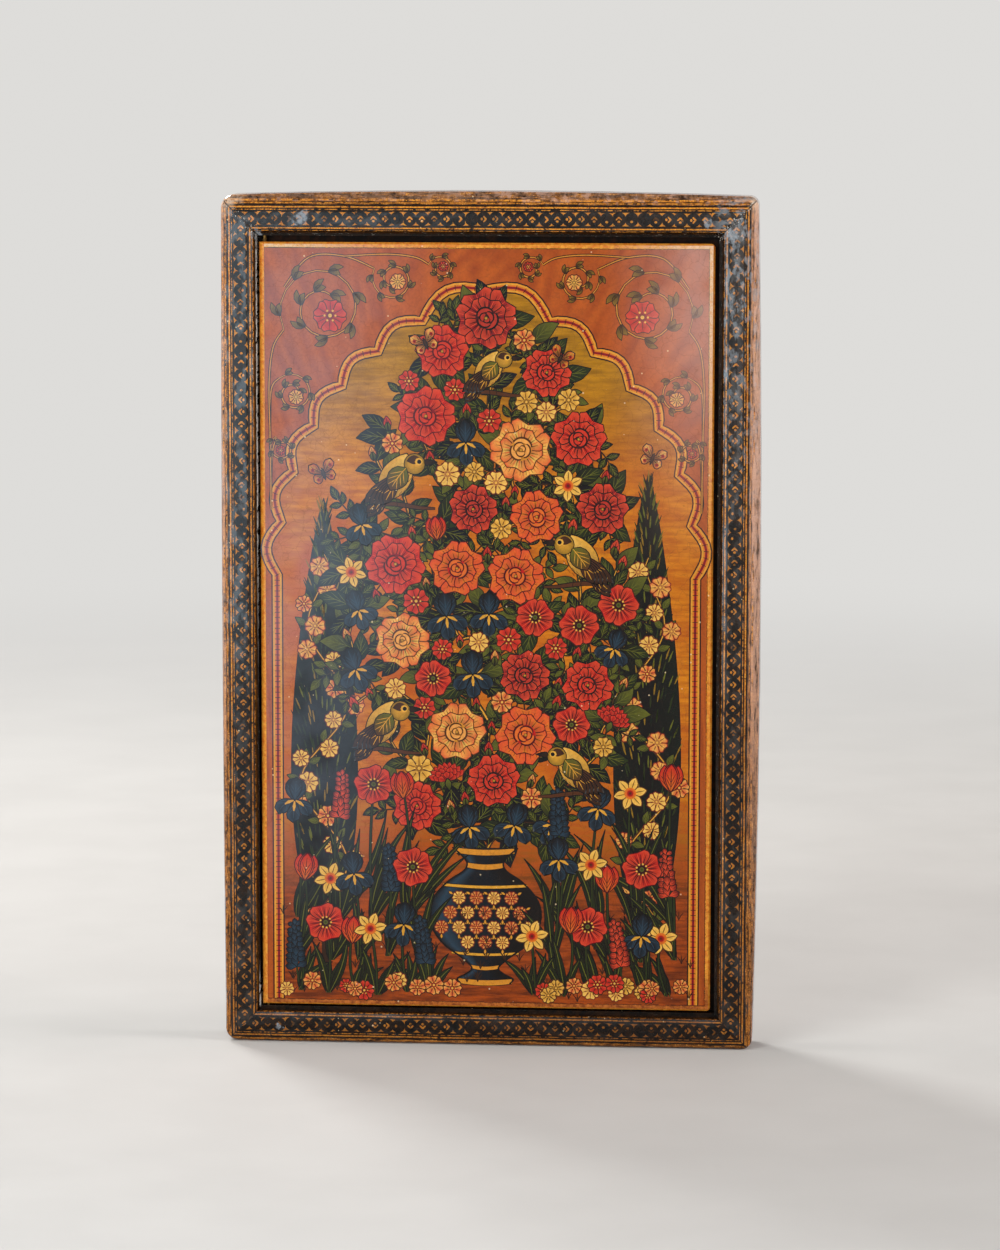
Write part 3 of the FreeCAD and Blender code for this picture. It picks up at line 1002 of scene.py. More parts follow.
def iris(film, base, size, turn):
    up = cmath.exp(1j * turn)
    standards = ((0.62, -1.1), (-0.62, 1.1), (0.0, 0.0))
    falls = ((1.75, 1.2), (-1.75, -1.2), (math.pi, 0.0))
    back_tones = (SLATE, BLUE_BLACK, BLACK, BLACK, SLATE)
    front_tones = (BLUE_BLACK, BLUE_BLACK, SLATE, BLACK, SLATE)
    fan(film, base, up, standards, size * 1.25, size * 0.7, *back_tones, 1.3, 0.7)
    over = Film(film.relief)
    fan(over, base, up, falls, size * 1.2, size * 0.74, *front_tones, 1.7, 0.6)
    for lean, bend in falls:
        way = up * cmath.exp(1j * lean)
        spots = [spine_point(base, way, size * 1.15, bend, share) for share in (0.05, 0.28, 0.5)]
        stroke(over, spots, 0.9, STRAW, 15)
    film.add(over)


def carnation(film, base, size, turn, petal=SCARLET, rim=CORAL):
    up = cmath.exp(1j * turn)
    for reach, count, coat in ((1.3, 9, 0), (1.0, 7, 9), (0.68, 5, 18)):
        for k in range(count):
            way = up * cmath.exp(1j * (k - (count - 1) / 2) * 2.5 / count)
            blade(
                film, base + up * size * 0.12, way, size * reach, size * 0.42, WINE, petal,
                coat + (k % 3) * 3, full=2.4, blunt=0.75, rim=rim, line=WINE, weight=0.22, rows=5,
            )
    cup = base - up * size * 0.5
    blade(film, cup, up, size * 0.86, size * 0.42, MOSS, OLIVE, 27, full=1.3, line=BLACK)


def bud(film, base, size, turn, petal):
    up = cmath.exp(1j * turn)
    blade(
        film, base, up, size * 1.6, size * 0.9, WINE, petal, 0,
        full=0.9, rim=CORAL, line=WINE, veins=1, vein=WINE,
    )
    for side in (-1, 1):
        blade(
            film, base - up * size * 0.2, up * cmath.exp(0.5j * side), size * 1.1, size * 0.4,
            BLACK, OLIVE, 3, bend=-0.9 * side, line=BLACK, weight=0.2,
        )


def spike(film, base, height, turn, chance, petal, rim):
    """A hyacinth: small bells up both sides of a stem."""
    up = cmath.exp(1j * turn)
    bend = chance.uniform(-0.25, 0.25)
    stroke(film, spine(base, up, height, bend, 6), 0.6, MOSS, 0, blunt=0.3)
    bells = int(height / 2.0)
    for k in range(bells):
        share = 0.25 + 0.75 * k / bells
        spot = spine_point(base, up, height, bend, share)
        for lean in (-1.2, 1.2, 0.0):
            size = 3.3 * (1.15 - share * 0.55)
            way = up * cmath.exp(1j * (lean + chance.uniform(-0.2, 0.2)))
            blade(
                film, spot, way, size, size * 0.66, rim, petal, 1 + 3 * (k % 3) + 9 * (lean == 0.0),
                full=1.4, blunt=0.8, line=BLACK, weight=0.22, veins=1, vein=rim, rows=4,
            )


# %% [markdown]
# ### Leaves and twigs
# Most leaves are bottle green that has gone nearly black under the varnish, with a few olive ones,
# and their veins are light olive.

# %%
LEAF_TONES = ((BLACK, BOTTLE), (BLACK, MOSS), (BOTTLE, MOSS), (BLACK, BLUE_BLACK), (BOTTLE, OLIVE))


def leaf(film, base, size, turn, chance, coat=0, tones=None):
    dark, light = tones or chance.choice(LEAF_TONES)
    blade(
        film, base, cmath.exp(1j * turn), size, size * 0.5, dark, light, coat,
        bend=chance.uniform(-0.7, 0.7), full=0.85, line=BLACK, weight=0.24, veins=3, vein=OLIVE,
    )


def leafy_twig(film, base, length, turn, chance, pairs=2):
    """A stalk with pairs of leaflets and one at its end."""
    bend = chance.uniform(-0.8, 0.8)
    way = cmath.exp(1j * turn)
    tones = chance.choice(LEAF_TONES)
    stroke(film, spine(base, way, length, bend, 5), 0.45, UMBER, 0, blunt=0.3)
    for k in range(pairs):
        share = 0.3 + 0.45 * k / max(pairs - 1, 1)
        spot = spine_point(base, way, length, bend, share)
        for side in (-1, 1):
            ahead = turn + bend * share + side * 0.95
            leaf(film, spot, length * (0.56 - 0.08 * k), ahead, chance, coat=1 + 3 * k, tones=tones)
    end = spine_point(base, way, length, bend, 0.95)
    leaf(film, end, length * 0.6, turn + bend, chance, 1 + 3 * pairs, tones)


def long_leaf(film, base, length, turn, bend, width=2.2):
    way = cmath.exp(1j * turn)
    blade(
        film, base, way, length, width, BLACK, BOTTLE, 0,
        bend=bend, full=0.75, rim=MOSS, line=BLACK, weight=0.24, rows=10,
    )
    stroke(film, spine(base, way, length, bend, 8)[:-1], 0.26, OLIVE, 2)


# %% [markdown]
# ### Birds and butterflies
# The nightingale is a body, a head, three tail feathers and a folded wing, all blades and discs, with
# short strokes for the down on its breast. A butterfly is four blades with spots.


# %%
def bird(film, feet, size, facing, breast=CREAM, back=BROWN):
    """A perched bird. facing is 1 for a bird that looks right, and -1 for left."""

    def at(x, y):
        return feet + size * complex(x * facing, y)

    def way(degrees):
        return heading(degrees) if facing > 0 else -heading(-degrees)

    for k, (angle, long) in enumerate(((236, 0.62), (229, 0.74), (222, 0.68))):
        blade(
            film, at(-0.26, 0.3), way(angle), size * long, size * 0.22, back, UMBER, 3 * k,
            full=1.5, blunt=0.6, line=BLACK, veins=1, vein=STRAW,
        )
    blade(
        film, at(-0.46, 0.12), way(50), size * 1.2, size * 0.68, back, breast, 9,
        bend=0.35 * facing, full=1.0, blunt=0.7, rim=STRAW, line=BLACK, rows=12,
    )
    head = at(0.3, 0.92)
    bill = head + way(10) * size * 0.2
    blade(film, bill, way(2), size * 0.3, size * 0.13, UMBER, BLACK, 12, full=0.5, line=BLACK)
    disc(film, head, size * 0.23, STRAW, OLIVE_GOLD, 13, sides=16)
    round_head = [head + size * 0.23 * heading(22.5 * i) for i in range(17)]
    stroke(film, round_head, 0.26, BLACK, 14, blunt=0.1)
    blade(film, at(0.12, 0.98), way(20), size * 0.34, size * 0.2, UMBER, back, 14, bend=-0.6 * facing)
    disc(film, head + size * complex(0.09 * facing, 0.05), size * 0.085, CREAM, STRAW, 15, sides=8)
    disc(film, head + size * complex(0.1 * facing, 0.05), size * 0.05, BLACK, BLACK, 16, sides=8)
    for row in range(4):
        for k in range(4 - row % 2):
            spot = at(0.02 + 0.1 * row, 0.2 + 0.12 * k + 0.08 * row)
            stroke(film, [spot, spot + way(232) * size * 0.1], 0.26, BROWN, 14, blunt=0.4)
    for k in range(5):
        shoulder = at(0.0 - 0.01 * k, 0.72 - 0.03 * k)
        blade(
            film, shoulder, way(214 + 5 * k), size * (1.06 - 0.1 * k), size * 0.26, back, UMBER,
            17 + 3 * k, bend=0.2 * facing, full=1.3, blunt=0.6, line=BLACK, veins=1, vein=STRAW,
        )
    blade(
        film, at(0.12, 0.84), way(226), size * 0.62, size * 0.46, OLIVE, BROWN, 32,
        bend=0.3 * facing, full=0.9, blunt=0.7, line=BLACK, veins=3, vein=STRAW,
    )
    for x in (-0.1, 0.08):
        stroke(film, [at(x, 0.14), at(x + 0.03, -0.02)], 0.36, UMBER, 9, blunt=0.2)


def butterfly(film, centre, size, turn, wing=STRAW):
    up = cmath.exp(1j * turn)
    for side in (-1, 1):
        for lean, long, coat in ((2.15, 0.8, 0), (0.95, 1.1, 3)):
            way = up * cmath.exp(1j * side * lean)
            blade(
                film, centre, way, size * long, size * 0.66, BROWN, wing, coat,
                bend=-0.4 * side, full=1.8, blunt=0.6, rim=SCARLET, line=BLACK, veins=2, vein=BROWN,
            )
            spot = centre + way * size * long * 0.66
            disc(film, spot, size * 0.12, BLACK, SCARLET, coat + 2, sides=8)
        feeler = centre + up * size * (0.7 + 0.22j * side)
        stroke(film, [centre + up * size * 0.3, feeler], 0.24, BLACK, 6)
    blade(film, centre - up * size * 0.45, up, size * 0.85, size * 0.2, BLACK, BROWN, 7, line=BLACK)


print("motifs ready, one coat is", COAT, "mm")

# %% [markdown]
# ### Laying a film on a board
# The shutter's face is slightly pillowed, so its films follow a shallow arc. The arc's height is read
# from the model: it is how far the face stands out in its middle, compared with its straight edges.


# %%
face_edge = pivot_y - hinge_round
crown = face_edge - shutter_low.y
face_left = pivot_x
face_right = shutter_high.x - 0.5
face_bottom = shutter_low.z + 0.52
face_top = shutter_high.z - 0.52
arc_middle = (face_left + face_right) / 2
arc_half = (face_right - face_left) / 2
arc_radius = (arc_half**2 + crown**2) / (2 * crown)
PRIMER = 0.012
CLEAR = 0.007  # A wide flat face dips by less than this below the pillowed ground.


def on_front(point, height):
    """A place on the pillowed face, height above it, from a point of the picture."""
    off = point.real - arc_middle
    rise = math.sqrt(arc_radius**2 - off**2) - (arc_radius - crown)
    return (point.real * MM, (face_edge - rise - height) * MM, point.imag * MM)


def on_inside(point, height):
    """The same for the flat inner face, which is seen from behind."""
    return (point.real * MM, (shutter_high.y + height) * MM, point.imag * MM)


def lay(film, name, where, material, flip=False):
    """Makes one mesh of a film and lets it ride on the shutter. Paint is too thin for a shadow."""
    heights = [PRIMER + COAT * coat + CLEAR if coat >= 0 else PRIMER for coat in film.coats]
    spots = [where(point, height) for point, height in zip(film.points, heights)]
    faces = [face[::-1] if flip else face for face in film.faces]
    piece = new_piece(name, spots, faces, material)
    colours = piece.data.color_attributes.new("paint", "FLOAT_COLOR", "POINT")
    colours.data.foreach_set("color", [part for colour in film.colours for part in colour])
    piece.data.shade_smooth()
    piece.visible_shadow = False
    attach(piece, "shutter")
    print(name, "faces", len(faces), "coats", film.top)


def paint_material():
    """The colour of each brush mark, under the same varnish as the rest."""
    material, shader, place = new_material("picture_paint", **LACQUER)
    node = place.node("ShaderNodeVertexColor", layer_name="paint")
    brushed = place.noise(1.3, 3.0, 0.6)
    colour = (brushed.ramp(0.3, 0.75) * 0.2).mix(Wire(node.outputs["Color"]), UMBER)
    # Over the colours lies a painted sheen, for the lamps' reflection in the varnish.
    varnish(shader, place, bloom(place, colour), crackle=0.4, dust=0.8, stain=0.5, depth=0.05)
    return material


picture_paint = paint_material()

# %% [markdown]
# ### The ground
# Under the picture lies a coloured ground: olive gold for the sky, amber behind the flowers, and
# brown earth at the foot. It is one smooth mesh over the whole face. Its colours run into each other,
# so a shader does them better than brush marks. A gold line frames it.


# %%
def ground_material():
    material, shader, place = new_material("picture_ground", **LACQUER)
    x, y, z = place.xyz()
    streaks = place.scaled(0.22, 1.0, 1.5).noise(0.5, 5.0, 0.62)
    clouds = place.noise(0.03, 3.0, 0.6)
    level = z + (clouds - 0.5) * 30.0
    sky = streaks.ramp(0.3, 0.7).mix(pigment(138, 92, 6), pigment(184, 124, 14))
    amber = streaks.ramp(0.3, 0.7).mix(pigment(176, 90, 8), pigment(216, 130, 16))
    amber = clouds.ramp(0.4, 0.7).mix(amber, pigment(180, 78, 14))
    earth = streaks.ramp(0.3, 0.7).mix(pigment(168, 70, 14), pigment(96, 38, 10))
    colour = level.ramp(150.0, 200.0).mix(amber, sky)
    colour = level.ramp(84.0, 36.0).mix(colour, earth)
    inset = inset_from(shutter_low, shutter_high, x, z)
    worn = place.noise(0.9, 4.0, 0.65)
    gilt = worn.ramp(0.3, 0.7).mix(pigment(238, 162, 54), pigment(214, 112, 34))
    # Painted sheen: the margin's gold turns pale towards both upper corners, where the lamps'
    # reflection lies in the varnish.
    corner_sheen = (abs(x) - 30.0).ramp(0.0, 34.0) * z.ramp(150.0, 222.0) * worn.ramp(0.36, 0.56)
    gilt = (corner_sheen * 0.8).mix(gilt, pigment(250, 214, 158))
    inset = inset + (worn - 0.5) * 0.7
    # Painted shade: the margin's gold turns brown towards the foot, as the light falls off downwards.
    brown = worn.ramp(0.3, 0.7).mix(pigment(196, 108, 40), pigment(120, 56, 20))
    gilt = z.ramp(24.0, 12.0).mix(gilt, brown)
    rule = inset.ramp(1.75, 1.62) * worn.ramp(0.62, 0.5)
    colour = (rule * 0.8).mix(colour, UMBER)
    colour = inset.ramp(1.5, 1.35).mix(colour, gilt)
    # Over the ground lies a painted sheen, for the lamps' reflection in the varnish.
    varnish(shader, place, bloom(place, colour), crackle=0.5, dust=0.8, stain=0.8, depth=0.05)
    return material


ground = Film()
GROUND_COLUMNS, GROUND_ROWS = 48, 8
rows = []
for i in range(GROUND_ROWS + 1):
    z = face_bottom + (face_top - face_bottom) * i / GROUND_ROWS
    step = (face_right - face_left) / GROUND_COLUMNS
    rows.append([complex(face_left + step * j, z) for j in range(GROUND_COLUMNS + 1)])
ground.patch(rows, [[AMBER] * (GROUND_COLUMNS + 1) for row in rows], -1)
lay(ground, "picture_ground", on_front, ground_material())

# %% [markdown]
# ### The arch
# A lobed arch frames the garden, a common form in this painting. Its edge is a chain of small bows
# along a pointed curve. The wall outside it is terracotta. A ray from the garden's middle through
# each point of the arch finds the matching point of the picture's edge, so that the sheet between
# them has no folds.

# %%
chance = random.Random(41)
relief = {}
MARGIN = 1.7
LOBES = 7
field_left, field_right = shutter_low.x + MARGIN, shutter_high.x - MARGIN
field_bottom, field_top = shutter_low.z + MARGIN, shutter_high.z - MARGIN
field_half = (field_right - field_left) / 2
arch_half = field_half - 3.2
spring = shutter_low.z + 124.0
apex = shutter_low.z + 205.0
heart = complex(shutter_middle, shutter_low.z + 100.0)


def half_arch():
    """The arch's right half as offsets from the middle line, from its foot to its apex."""
    points = [complex(arch_half, field_bottom + (spring - field_bottom) * i / 10) for i in range(10)]
    knots = []
    for k in range(LOBES + 1):
        angle = k / LOBES * math.pi / 2
        rise = 0.84 * math.sin(angle) + 0.16 * (k / LOBES) ** 5
        knots.append(complex(arch_half * math.cos(angle) ** 0.8, spring + (apex - spring) * rise))
    for a, b in zip(knots, knots[1:]):
        for i in range(8):
            t = i / 8
            points.append(a + (b - a) * (t - 0.24j * math.sin(math.pi * t)))
    return points + [knots[-1]]


def to_border(point):
    ray = point - heart
    tall = field_top - heart.imag if ray.imag > 0 else heart.imag - field_bottom
    return heart + ray * min(field_half / max(abs(ray.real), 1e-6), tall / max(abs(ray.imag), 1e-6))


right_half = half_arch()
arch = [complex(shutter_middle - p.real, p.imag) for p in right_half]
arch += [complex(shutter_middle + p.real, p.imag) for p in right_half[-2::-1]]
border = [to_border(point) for point in arch]
border[0], border[-1] = complex(field_left, field_bottom), complex(field_right, field_bottom)
for corner in (complex(field_left, field_top), complex(field_right, field_top)):
    nearest = min(range(len(border)), key=lambda i: abs(border[i] - corner))
    border[nearest] = corner

architecture = Film(relief)
wall = Film()
rows = [[p + (q - p) * share for share in (0, 0.25, 0.5, 0.75, 1)] for p, q in zip(arch, border)]
shades = [[blend(BRICK, TERRACOTTA, chance.uniform(0.1, 1.0)) for point in row] for row in rows]
wall.patch(rows, shades, 0)
architecture.add(wall)

# %% [markdown]
# The arch's moulding is painted as a band with two dark edges, a red line in its middle and short
# dark dashes across it.


# %%
def beside(points, shift):
    """The same line, moved sideways."""
    moved = []
    for i, point in enumerate(points):
        along = points[min(i + 1, len(points) - 1)] - points[max(i - 1, 0)]
        moved.append(point + 1j * along / abs(along) * shift)
    return moved


ARCH_LINES = (  # Width, shift and colour.
    (0.36, 1.5, BLACK), (0.36, -1.5, BLACK),
    (0.42, 1.0, STRAW), (0.42, -1.0, STRAW), (0.7, 0.0, CRIMSON),
)
band = Film()
stroke(band, arch, 3.0, ORANGE, 0, blunt=0.02)
for width, shift, colour in ARCH_LINES:
    stroke(band, beside(arch, shift), width, colour, 1, blunt=0.02)
for start, stop in zip(arch, arch[1:]):
    along = stop - start
    ticks = max(int(abs(along) / 1.5), 1)
    normal = 1j * along / abs(along)
    for k in range(ticks):
        spot = start + along * k / ticks
        stroke(band, [spot - normal * 0.75, spot + normal * 0.75], 0.34, UMBER, 2, blunt=0.3)
architecture.add(band)

# %% [markdown]
# ### Scrolls on the wall
# Scrolls with small leaves fill the spandrels. A scroll is a spiral whose radius shrinks as it turns.
# The leaves sit on its outer side, and a flower fills its eye.


# %%
def scroll(film, centre, radius, start, turns, spin, bloom):
    one = Film()
    steps = int(turns * 20)
    points = []
    for i in range(steps + 1):
        share = i / steps
        angle = start + spin * TURN * turns * share
        points.append(centre + radius * (1 - 0.78 * share) * cmath.exp(1j * angle))
    stalk(one, points, 0.3, 0.5, UMBER, GOLD)
    for i in range(1, steps - 4, 3):
        out = (points[i] - centre) / abs(points[i] - centre)
        for lean, size in ((0.7, 0.3), (1.25, 0.22)):
            blade(
                one, points[i], out * cmath.exp(1j * spin * lean), radius * size + 1.0,
                radius * 0.1 + 0.6, UMBER, OLIVE_GOLD, 2,
                bend=spin * 0.9, line=UMBER, weight=0.22, rows=4,
            )
    film.add(one)
    film.paint(blossom, points[-1], radius * 0.36, start, bloom, CORAL, WINE, count=6)


def smooth_curve(points, steps=4):
    """Points along a soft curve through the given ones."""
    out = []
    for i in range(len(points) - 1):
        p0, p1 = points[max(i - 1, 0)], points[i]
        p2, p3 = points[i + 1], points[min(i + 2, len(points) - 1)]
        for k in range(steps):
            t = k / steps
            slope = (p2 - p0) * t
            sweep = (2 * p0 - 5 * p1 + 4 * p2 - p3) * t**2
            swerve = (3 * p1 - p0 - 3 * p2 + p3) * t**3
            out.append(0.5 * (2 * p1 + slope + sweep + swerve))
    return out + [points[-1]]


SCROLLS = (
    (46.0, -17.0, 12.6, -28, 1.7, 1, SCARLET),
    (26.0, -8.6, 6.2, 30, 1.5, -1, CREAM),
    (54.6, -41.0, 5.8, 50, 1.5, 1, CREAM),
    (57.6, -56.5, 3.8, 60, 1.3, -1, SCARLET),
    (12.5, -5.6, 3.8, 20, 1.3, 1, SCARLET),
)
VINES = (
    ((61.0, -74.0), (61.0, -66.0), (60.6, -58.0), (59.4, -53.4)),
    ((61.0, -66.0), (61.2, -52.0), (60.8, -40.0), (58.4, -36.6)),
    ((61.2, -52.0), (61.4, -38.0), (60.2, -28.0), (57.2, -23.0)),
    ((57.0, -11.0), (50.0, -2.6), (40.0, -2.2), (31.4, -5.6)),
    ((40.0, -2.2), (28.0, -1.6), (20.0, -2.4), (16.0, -4.4)),
)
for side in (1, -1):
    for path in VINES:
        vine = smooth_curve([complex(shutter_middle + side * x, field_top + z) for x, z in path], 8)
        architecture.paint(stalk, vine, 0.3, 0.5, UMBER, GOLD, blunt=0.1)
    for x, down, radius, start, turns, spin, bloom in SCROLLS:
        middle = complex(shutter_middle + side * x, field_top + down)
        begin = math.radians(start if side > 0 else 180 - start)
        scroll(architecture, middle, radius, begin, turns, spin * side, bloom)
lay(architecture, "painted_arch", on_front, picture_paint)

# %% [markdown]
# ### Two cypresses
# A cypress stands at each side, a dark flame with many short strokes for its foliage. A flowering
# branch winds round it, as often in such gardens.


# %%
def cypress(film, foot, height, width, chance):
    one = Film()
    blade(
        one, foot, 1j, height, width, BLACK, BLACK, 0,
        full=0.7, blunt=0.8, rim=BOTTLE, line=BLACK, rows=26,
    )
    stroke(one, [foot + 1j * height * share for share in (0.0, -0.04, -0.08)], 2.0, UMBER, 1, blunt=0.1)
    for k in range(330):
        share = (k + 0.5) / 336
        half = width / 2 * math.sin(math.pi * share**0.7) ** 0.8 * 0.9
        across = chance.uniform(-1, 1)
        spot = foot + complex(across * half, height * share)
        way = heading(90 - across * 26)
        tone = chance.choice((OLIVE, MOSS, MOSS, BOTTLE, OLIVE_GOLD))
        stroke(one, [spot, spot + way * 1.4, spot + way * 3.4], 0.5, tone, 3)
    film.add(one)


def twining_branch(film, foot, height, swing, phase, chance):
    points = []
    for i in range(61):
        share = i / 60
        reach = swing * math.sin(math.pi * (0.12 + 0.88 * share)) ** 0.5
        points.append(foot + complex(reach * math.sin(share * 15 + phase), height * share))
    one = Film()
    stroke(one, points, 1.0, BROWN, 0, blunt=0.3, tip=UMBER)
    stroke(one, [p + 0.12 for p in points], 0.3, STRAW, 1, blunt=0.3)
    film.add(one)
    for i in range(4, 60, 3):
        way = (points[i + 1] - points[i - 1]) / abs(points[i + 1] - points[i - 1])
        side = 1 if (i // 3) % 2 else -1
        spot = points[i] + way * 1j * side * 2.2
        leaves = Film()
        for lean in (-0.9, 0.9):
            leaf(leaves, points[i], 4.4, cmath.phase(way) - side * lean, chance, tones=(BOTTLE, OLIVE))
        film.add(leaves)
        tone = chance.choice(((CREAM, CREAM, CRIMSON), (CREAM, CORAL, CRIMSON), (CORAL, CREAM, WINE)))
        film.paint(blossom, spot, chance.uniform(2.3, 3.0), chance.uniform(0, TURN), *tone)


trees = Film(relief)
for side in (-1, 1):
    foot = complex(shutter_middle + side * 46.0, shutter_low.z + 22.0)
    cypress(trees, foot, 128.0 + 4 * side, 19.0, chance)
    twining_branch(trees, foot - 4j, 112.0, 7.0, 1.5 * side, chance)
lay(trees, "cypress_trees", on_front, picture_paint)

# %% [markdown]
# ### The bouquet
# The flowers are scattered by chance, with a fixed seed so that every run paints the same garden. A
# flower is kept only if it stays clear of those already there, which gives the even, crowded look of
# a filled ground. Birds and vase have their places first, because the eye goes to them. Large roses
# come next, and then smaller kinds fill what is left.

# %%
placed = []
vase_foot = complex(shutter_middle, shutter_low.z + 7.0)
vase_mouth = vase_foot + 38j
bouquet_low = vase_mouth.imag + 7.0
bouquet_top = apex - 7.0


def half_width_at(z):
    """How far the bouquet reaches from the middle at height z."""
    share = min(max((z - bouquet_low + 14.0) / (bouquet_top - bouquet_low + 14.0), 0.0), 1.0)
    return 41.0 * math.sin(math.pi * share**0.92) ** 0.5


def scatter(count, sizes, gap=0.4, low=0.0, tries=300):
    """Finds free places for one kind of flower."""
    found = []
    for i in range(count):
        for attempt in range(tries):
            z = chance.uniform(bouquet_low + low, bouquet_top)
            size = chance.uniform(*sizes)
            x = chance.uniform(-1, 1) * (half_width_at(z) - size * 0.4)
            spot = complex(shutter_middle + x, z)
            if all(abs(spot - other) > size + reach + gap for other, reach in placed):
                placed.append((spot, size))
                found.append((spot, size))
                break
    return found


BIRDS = (
    (-24.0, 144.0, 13.0, 1),
    (26.0, 122.0, 12.5, -1),
    (2.0, 176.0, 10.5, 1),
    (-28.0, 74.0, 12.5, 1),
    (24.0, 62.0, 12.0, -1),
)
for x, z, size, facing in BIRDS:
    placed.append((complex(shutter_middle + x, shutter_low.z + z + size * 0.4), size * 0.74))
roses = scatter(19, (6.4, 8.4), low=6.0)
irises = scatter(11, (4.8, 5.8))
poppies = scatter(7, (4.8, 6.0), low=6.0)
tulips = scatter(9, (4.6, 5.4))
carnations = scatter(7, (4.4, 5.2), low=6.0)
daffodils = scatter(12, (4.0, 5.0))
blossoms = scatter(30, (2.8, 4.0), gap=0.2)
buds = scatter(36, (1.9, 2.5), gap=0.1)
print("flowers placed", len(placed) - len(BIRDS))

# %% [markdown]
# Each flower joins the nearest one that is already joined and lies nearer to the vase, as twigs join
# branches. A branch that carries many flowers is thicker. Leaves sit along the branches and behind
# the flowers.

# %%
joined = [vase_mouth]
parents = {}
for spot in sorted((spot for spot, size in placed), key=lambda p: abs(p - vase_mouth)):
    far = abs(spot - vase_mouth)
    near = min(joined, key=lambda q: abs(spot - q) + 0.9 * (abs(q - vase_mouth) + abs(spot - q) - far))
    parents[spot] = near
    joined.append(spot)
load = dict.fromkeys(joined, 1)
for spot in reversed(joined[1:]):
    load[parents[spot]] += load[spot]

branches = Film(relief)
twigs = Film()
leaves_behind = []
for spot, near in parents.items():
    along = spot - near
    sway = 1j * along * chance.uniform(-0.2, 0.2)
    curve = [near + along * t + sway * math.sin(math.pi * t) for t in (i / 10 for i in range(11))]
    width = 0.5 + 0.16 * math.sqrt(load[spot])
    stroke(twigs, curve, width + 0.3, BLACK, 0, blunt=0.1)
    stroke(twigs, curve, width, BROWN, 1, blunt=0.1, tip=MOSS)
    stroke(twigs, [p + 0.12 * width for p in curve], width * 0.3, STRAW, 2, blunt=0.2)
    for i in range(2, 10, 2):
        side = 1 if i % 4 else -1
        turn = cmath.phase(along) + side * chance.uniform(0.6, 1.2)
        if abs(along) * 0.2 * (i // 2 % 2 + 1) > 2.2:
            one = Film()
            leaf(one, curve[i], chance.uniform(6.5, 10.0), turn, chance)
            leaves_behind.append(one)
branches.add(twigs)
foliage = Film(relief)
for one in leaves_behind:
    foliage.add(one)
for spot, size in roses + poppies + carnations + daffodils + tulips + irises:
    first = chance.uniform(0, TURN)
    count = 7 if size > 6.2 else 5
    for k in range(count):
        turn = first + TURN * k / count + chance.uniform(-0.35, 0.35)
        start = spot + cmath.exp(1j * turn) * size * 0.4
        if chance.random() < 0.4:
            foliage.paint(leafy_twig, start, chance.uniform(7.0, 9.5), turn, chance)
        else:
            foliage.paint(leaf, start, chance.uniform(7.5, 11.0), turn, chance)
lay(branches, "bouquet_branches", on_front, picture_paint)
lay(foliage, "bouquet_leaves", on_front, picture_paint)

# %% [markdown]
# The flowers come over the leaves. Cup-shaped ones open away from the vase.


# %%
def away(point):
    return cmath.phase(point - vase_mouth + 20j) * 0.8 + math.pi / 2 * 0.2


ROSE_TONES = (
    (SCARLET, CRIMSON, WINE), (SCARLET, CRIMSON, WINE), (CRIMSON, WINE, BLACK), (SCARLET, WINE, BLACK),
    (ORANGE, SCARLET, WINE), (CREAM, GOLD, BROWN),
)
BLOSSOM_TONES = (
    (CREAM, CREAM, CRIMSON), (STRAW, CREAM, BROWN), (CORAL, CREAM, WINE), (SCARLET, CORAL, BLACK)
)
flowers = Film(relief)


def any_turn():
    return chance.uniform(0, TURN)


for spot, size in buds:
    tone = chance.choice((SCARLET, CORAL, CREAM))
    flowers.paint(bud, spot - 1j * size, size * 1.2, away(spot), tone)
for spot, size in blossoms:
    flowers.paint(blossom, spot, size, any_turn(), *chance.choice(BLOSSOM_TONES))
for spot, size in daffodils:
    flowers.paint(narcissus, spot, size, any_turn())
for spot, size in carnations:
    flowers.paint(carnation, spot - 1j * size * 0.4, size, away(spot))
for spot, size in tulips:
    flowers.paint(tulip, spot - 1j * size * 0.7, size, away(spot))
for spot, size in irises:
    flowers.paint(iris, spot, size, away(spot))
for spot, size in poppies:
    flowers.paint(poppy, spot, size, any_turn())
for spot, size in roses:
    flowers.paint(rose, spot, size, any_turn(), *chance.choice(ROSE_TONES))
lay(flowers, "bouquet_flowers", on_front, picture_paint)

# %% [markdown]
# ### The vase
# A footed vase stands on the earth. Its outline is a profile mirrored left and right. It is blue-black
# with gilt rims and a net of small flowers, and a light stroke on its shoulder makes it round.

# %%
profile = [
    (7.0, 0.0), (8.0, 1.4), (5.4, 2.8), (3.8, 4.6), (6.6, 7.4), (12.6, 12.0), (15.8, 18.0),
    (15.2, 24.0), (10.8, 29.4), (6.2, 32.6), (5.2, 35.0), (7.0, 37.4), (9.4, 39.4),
]


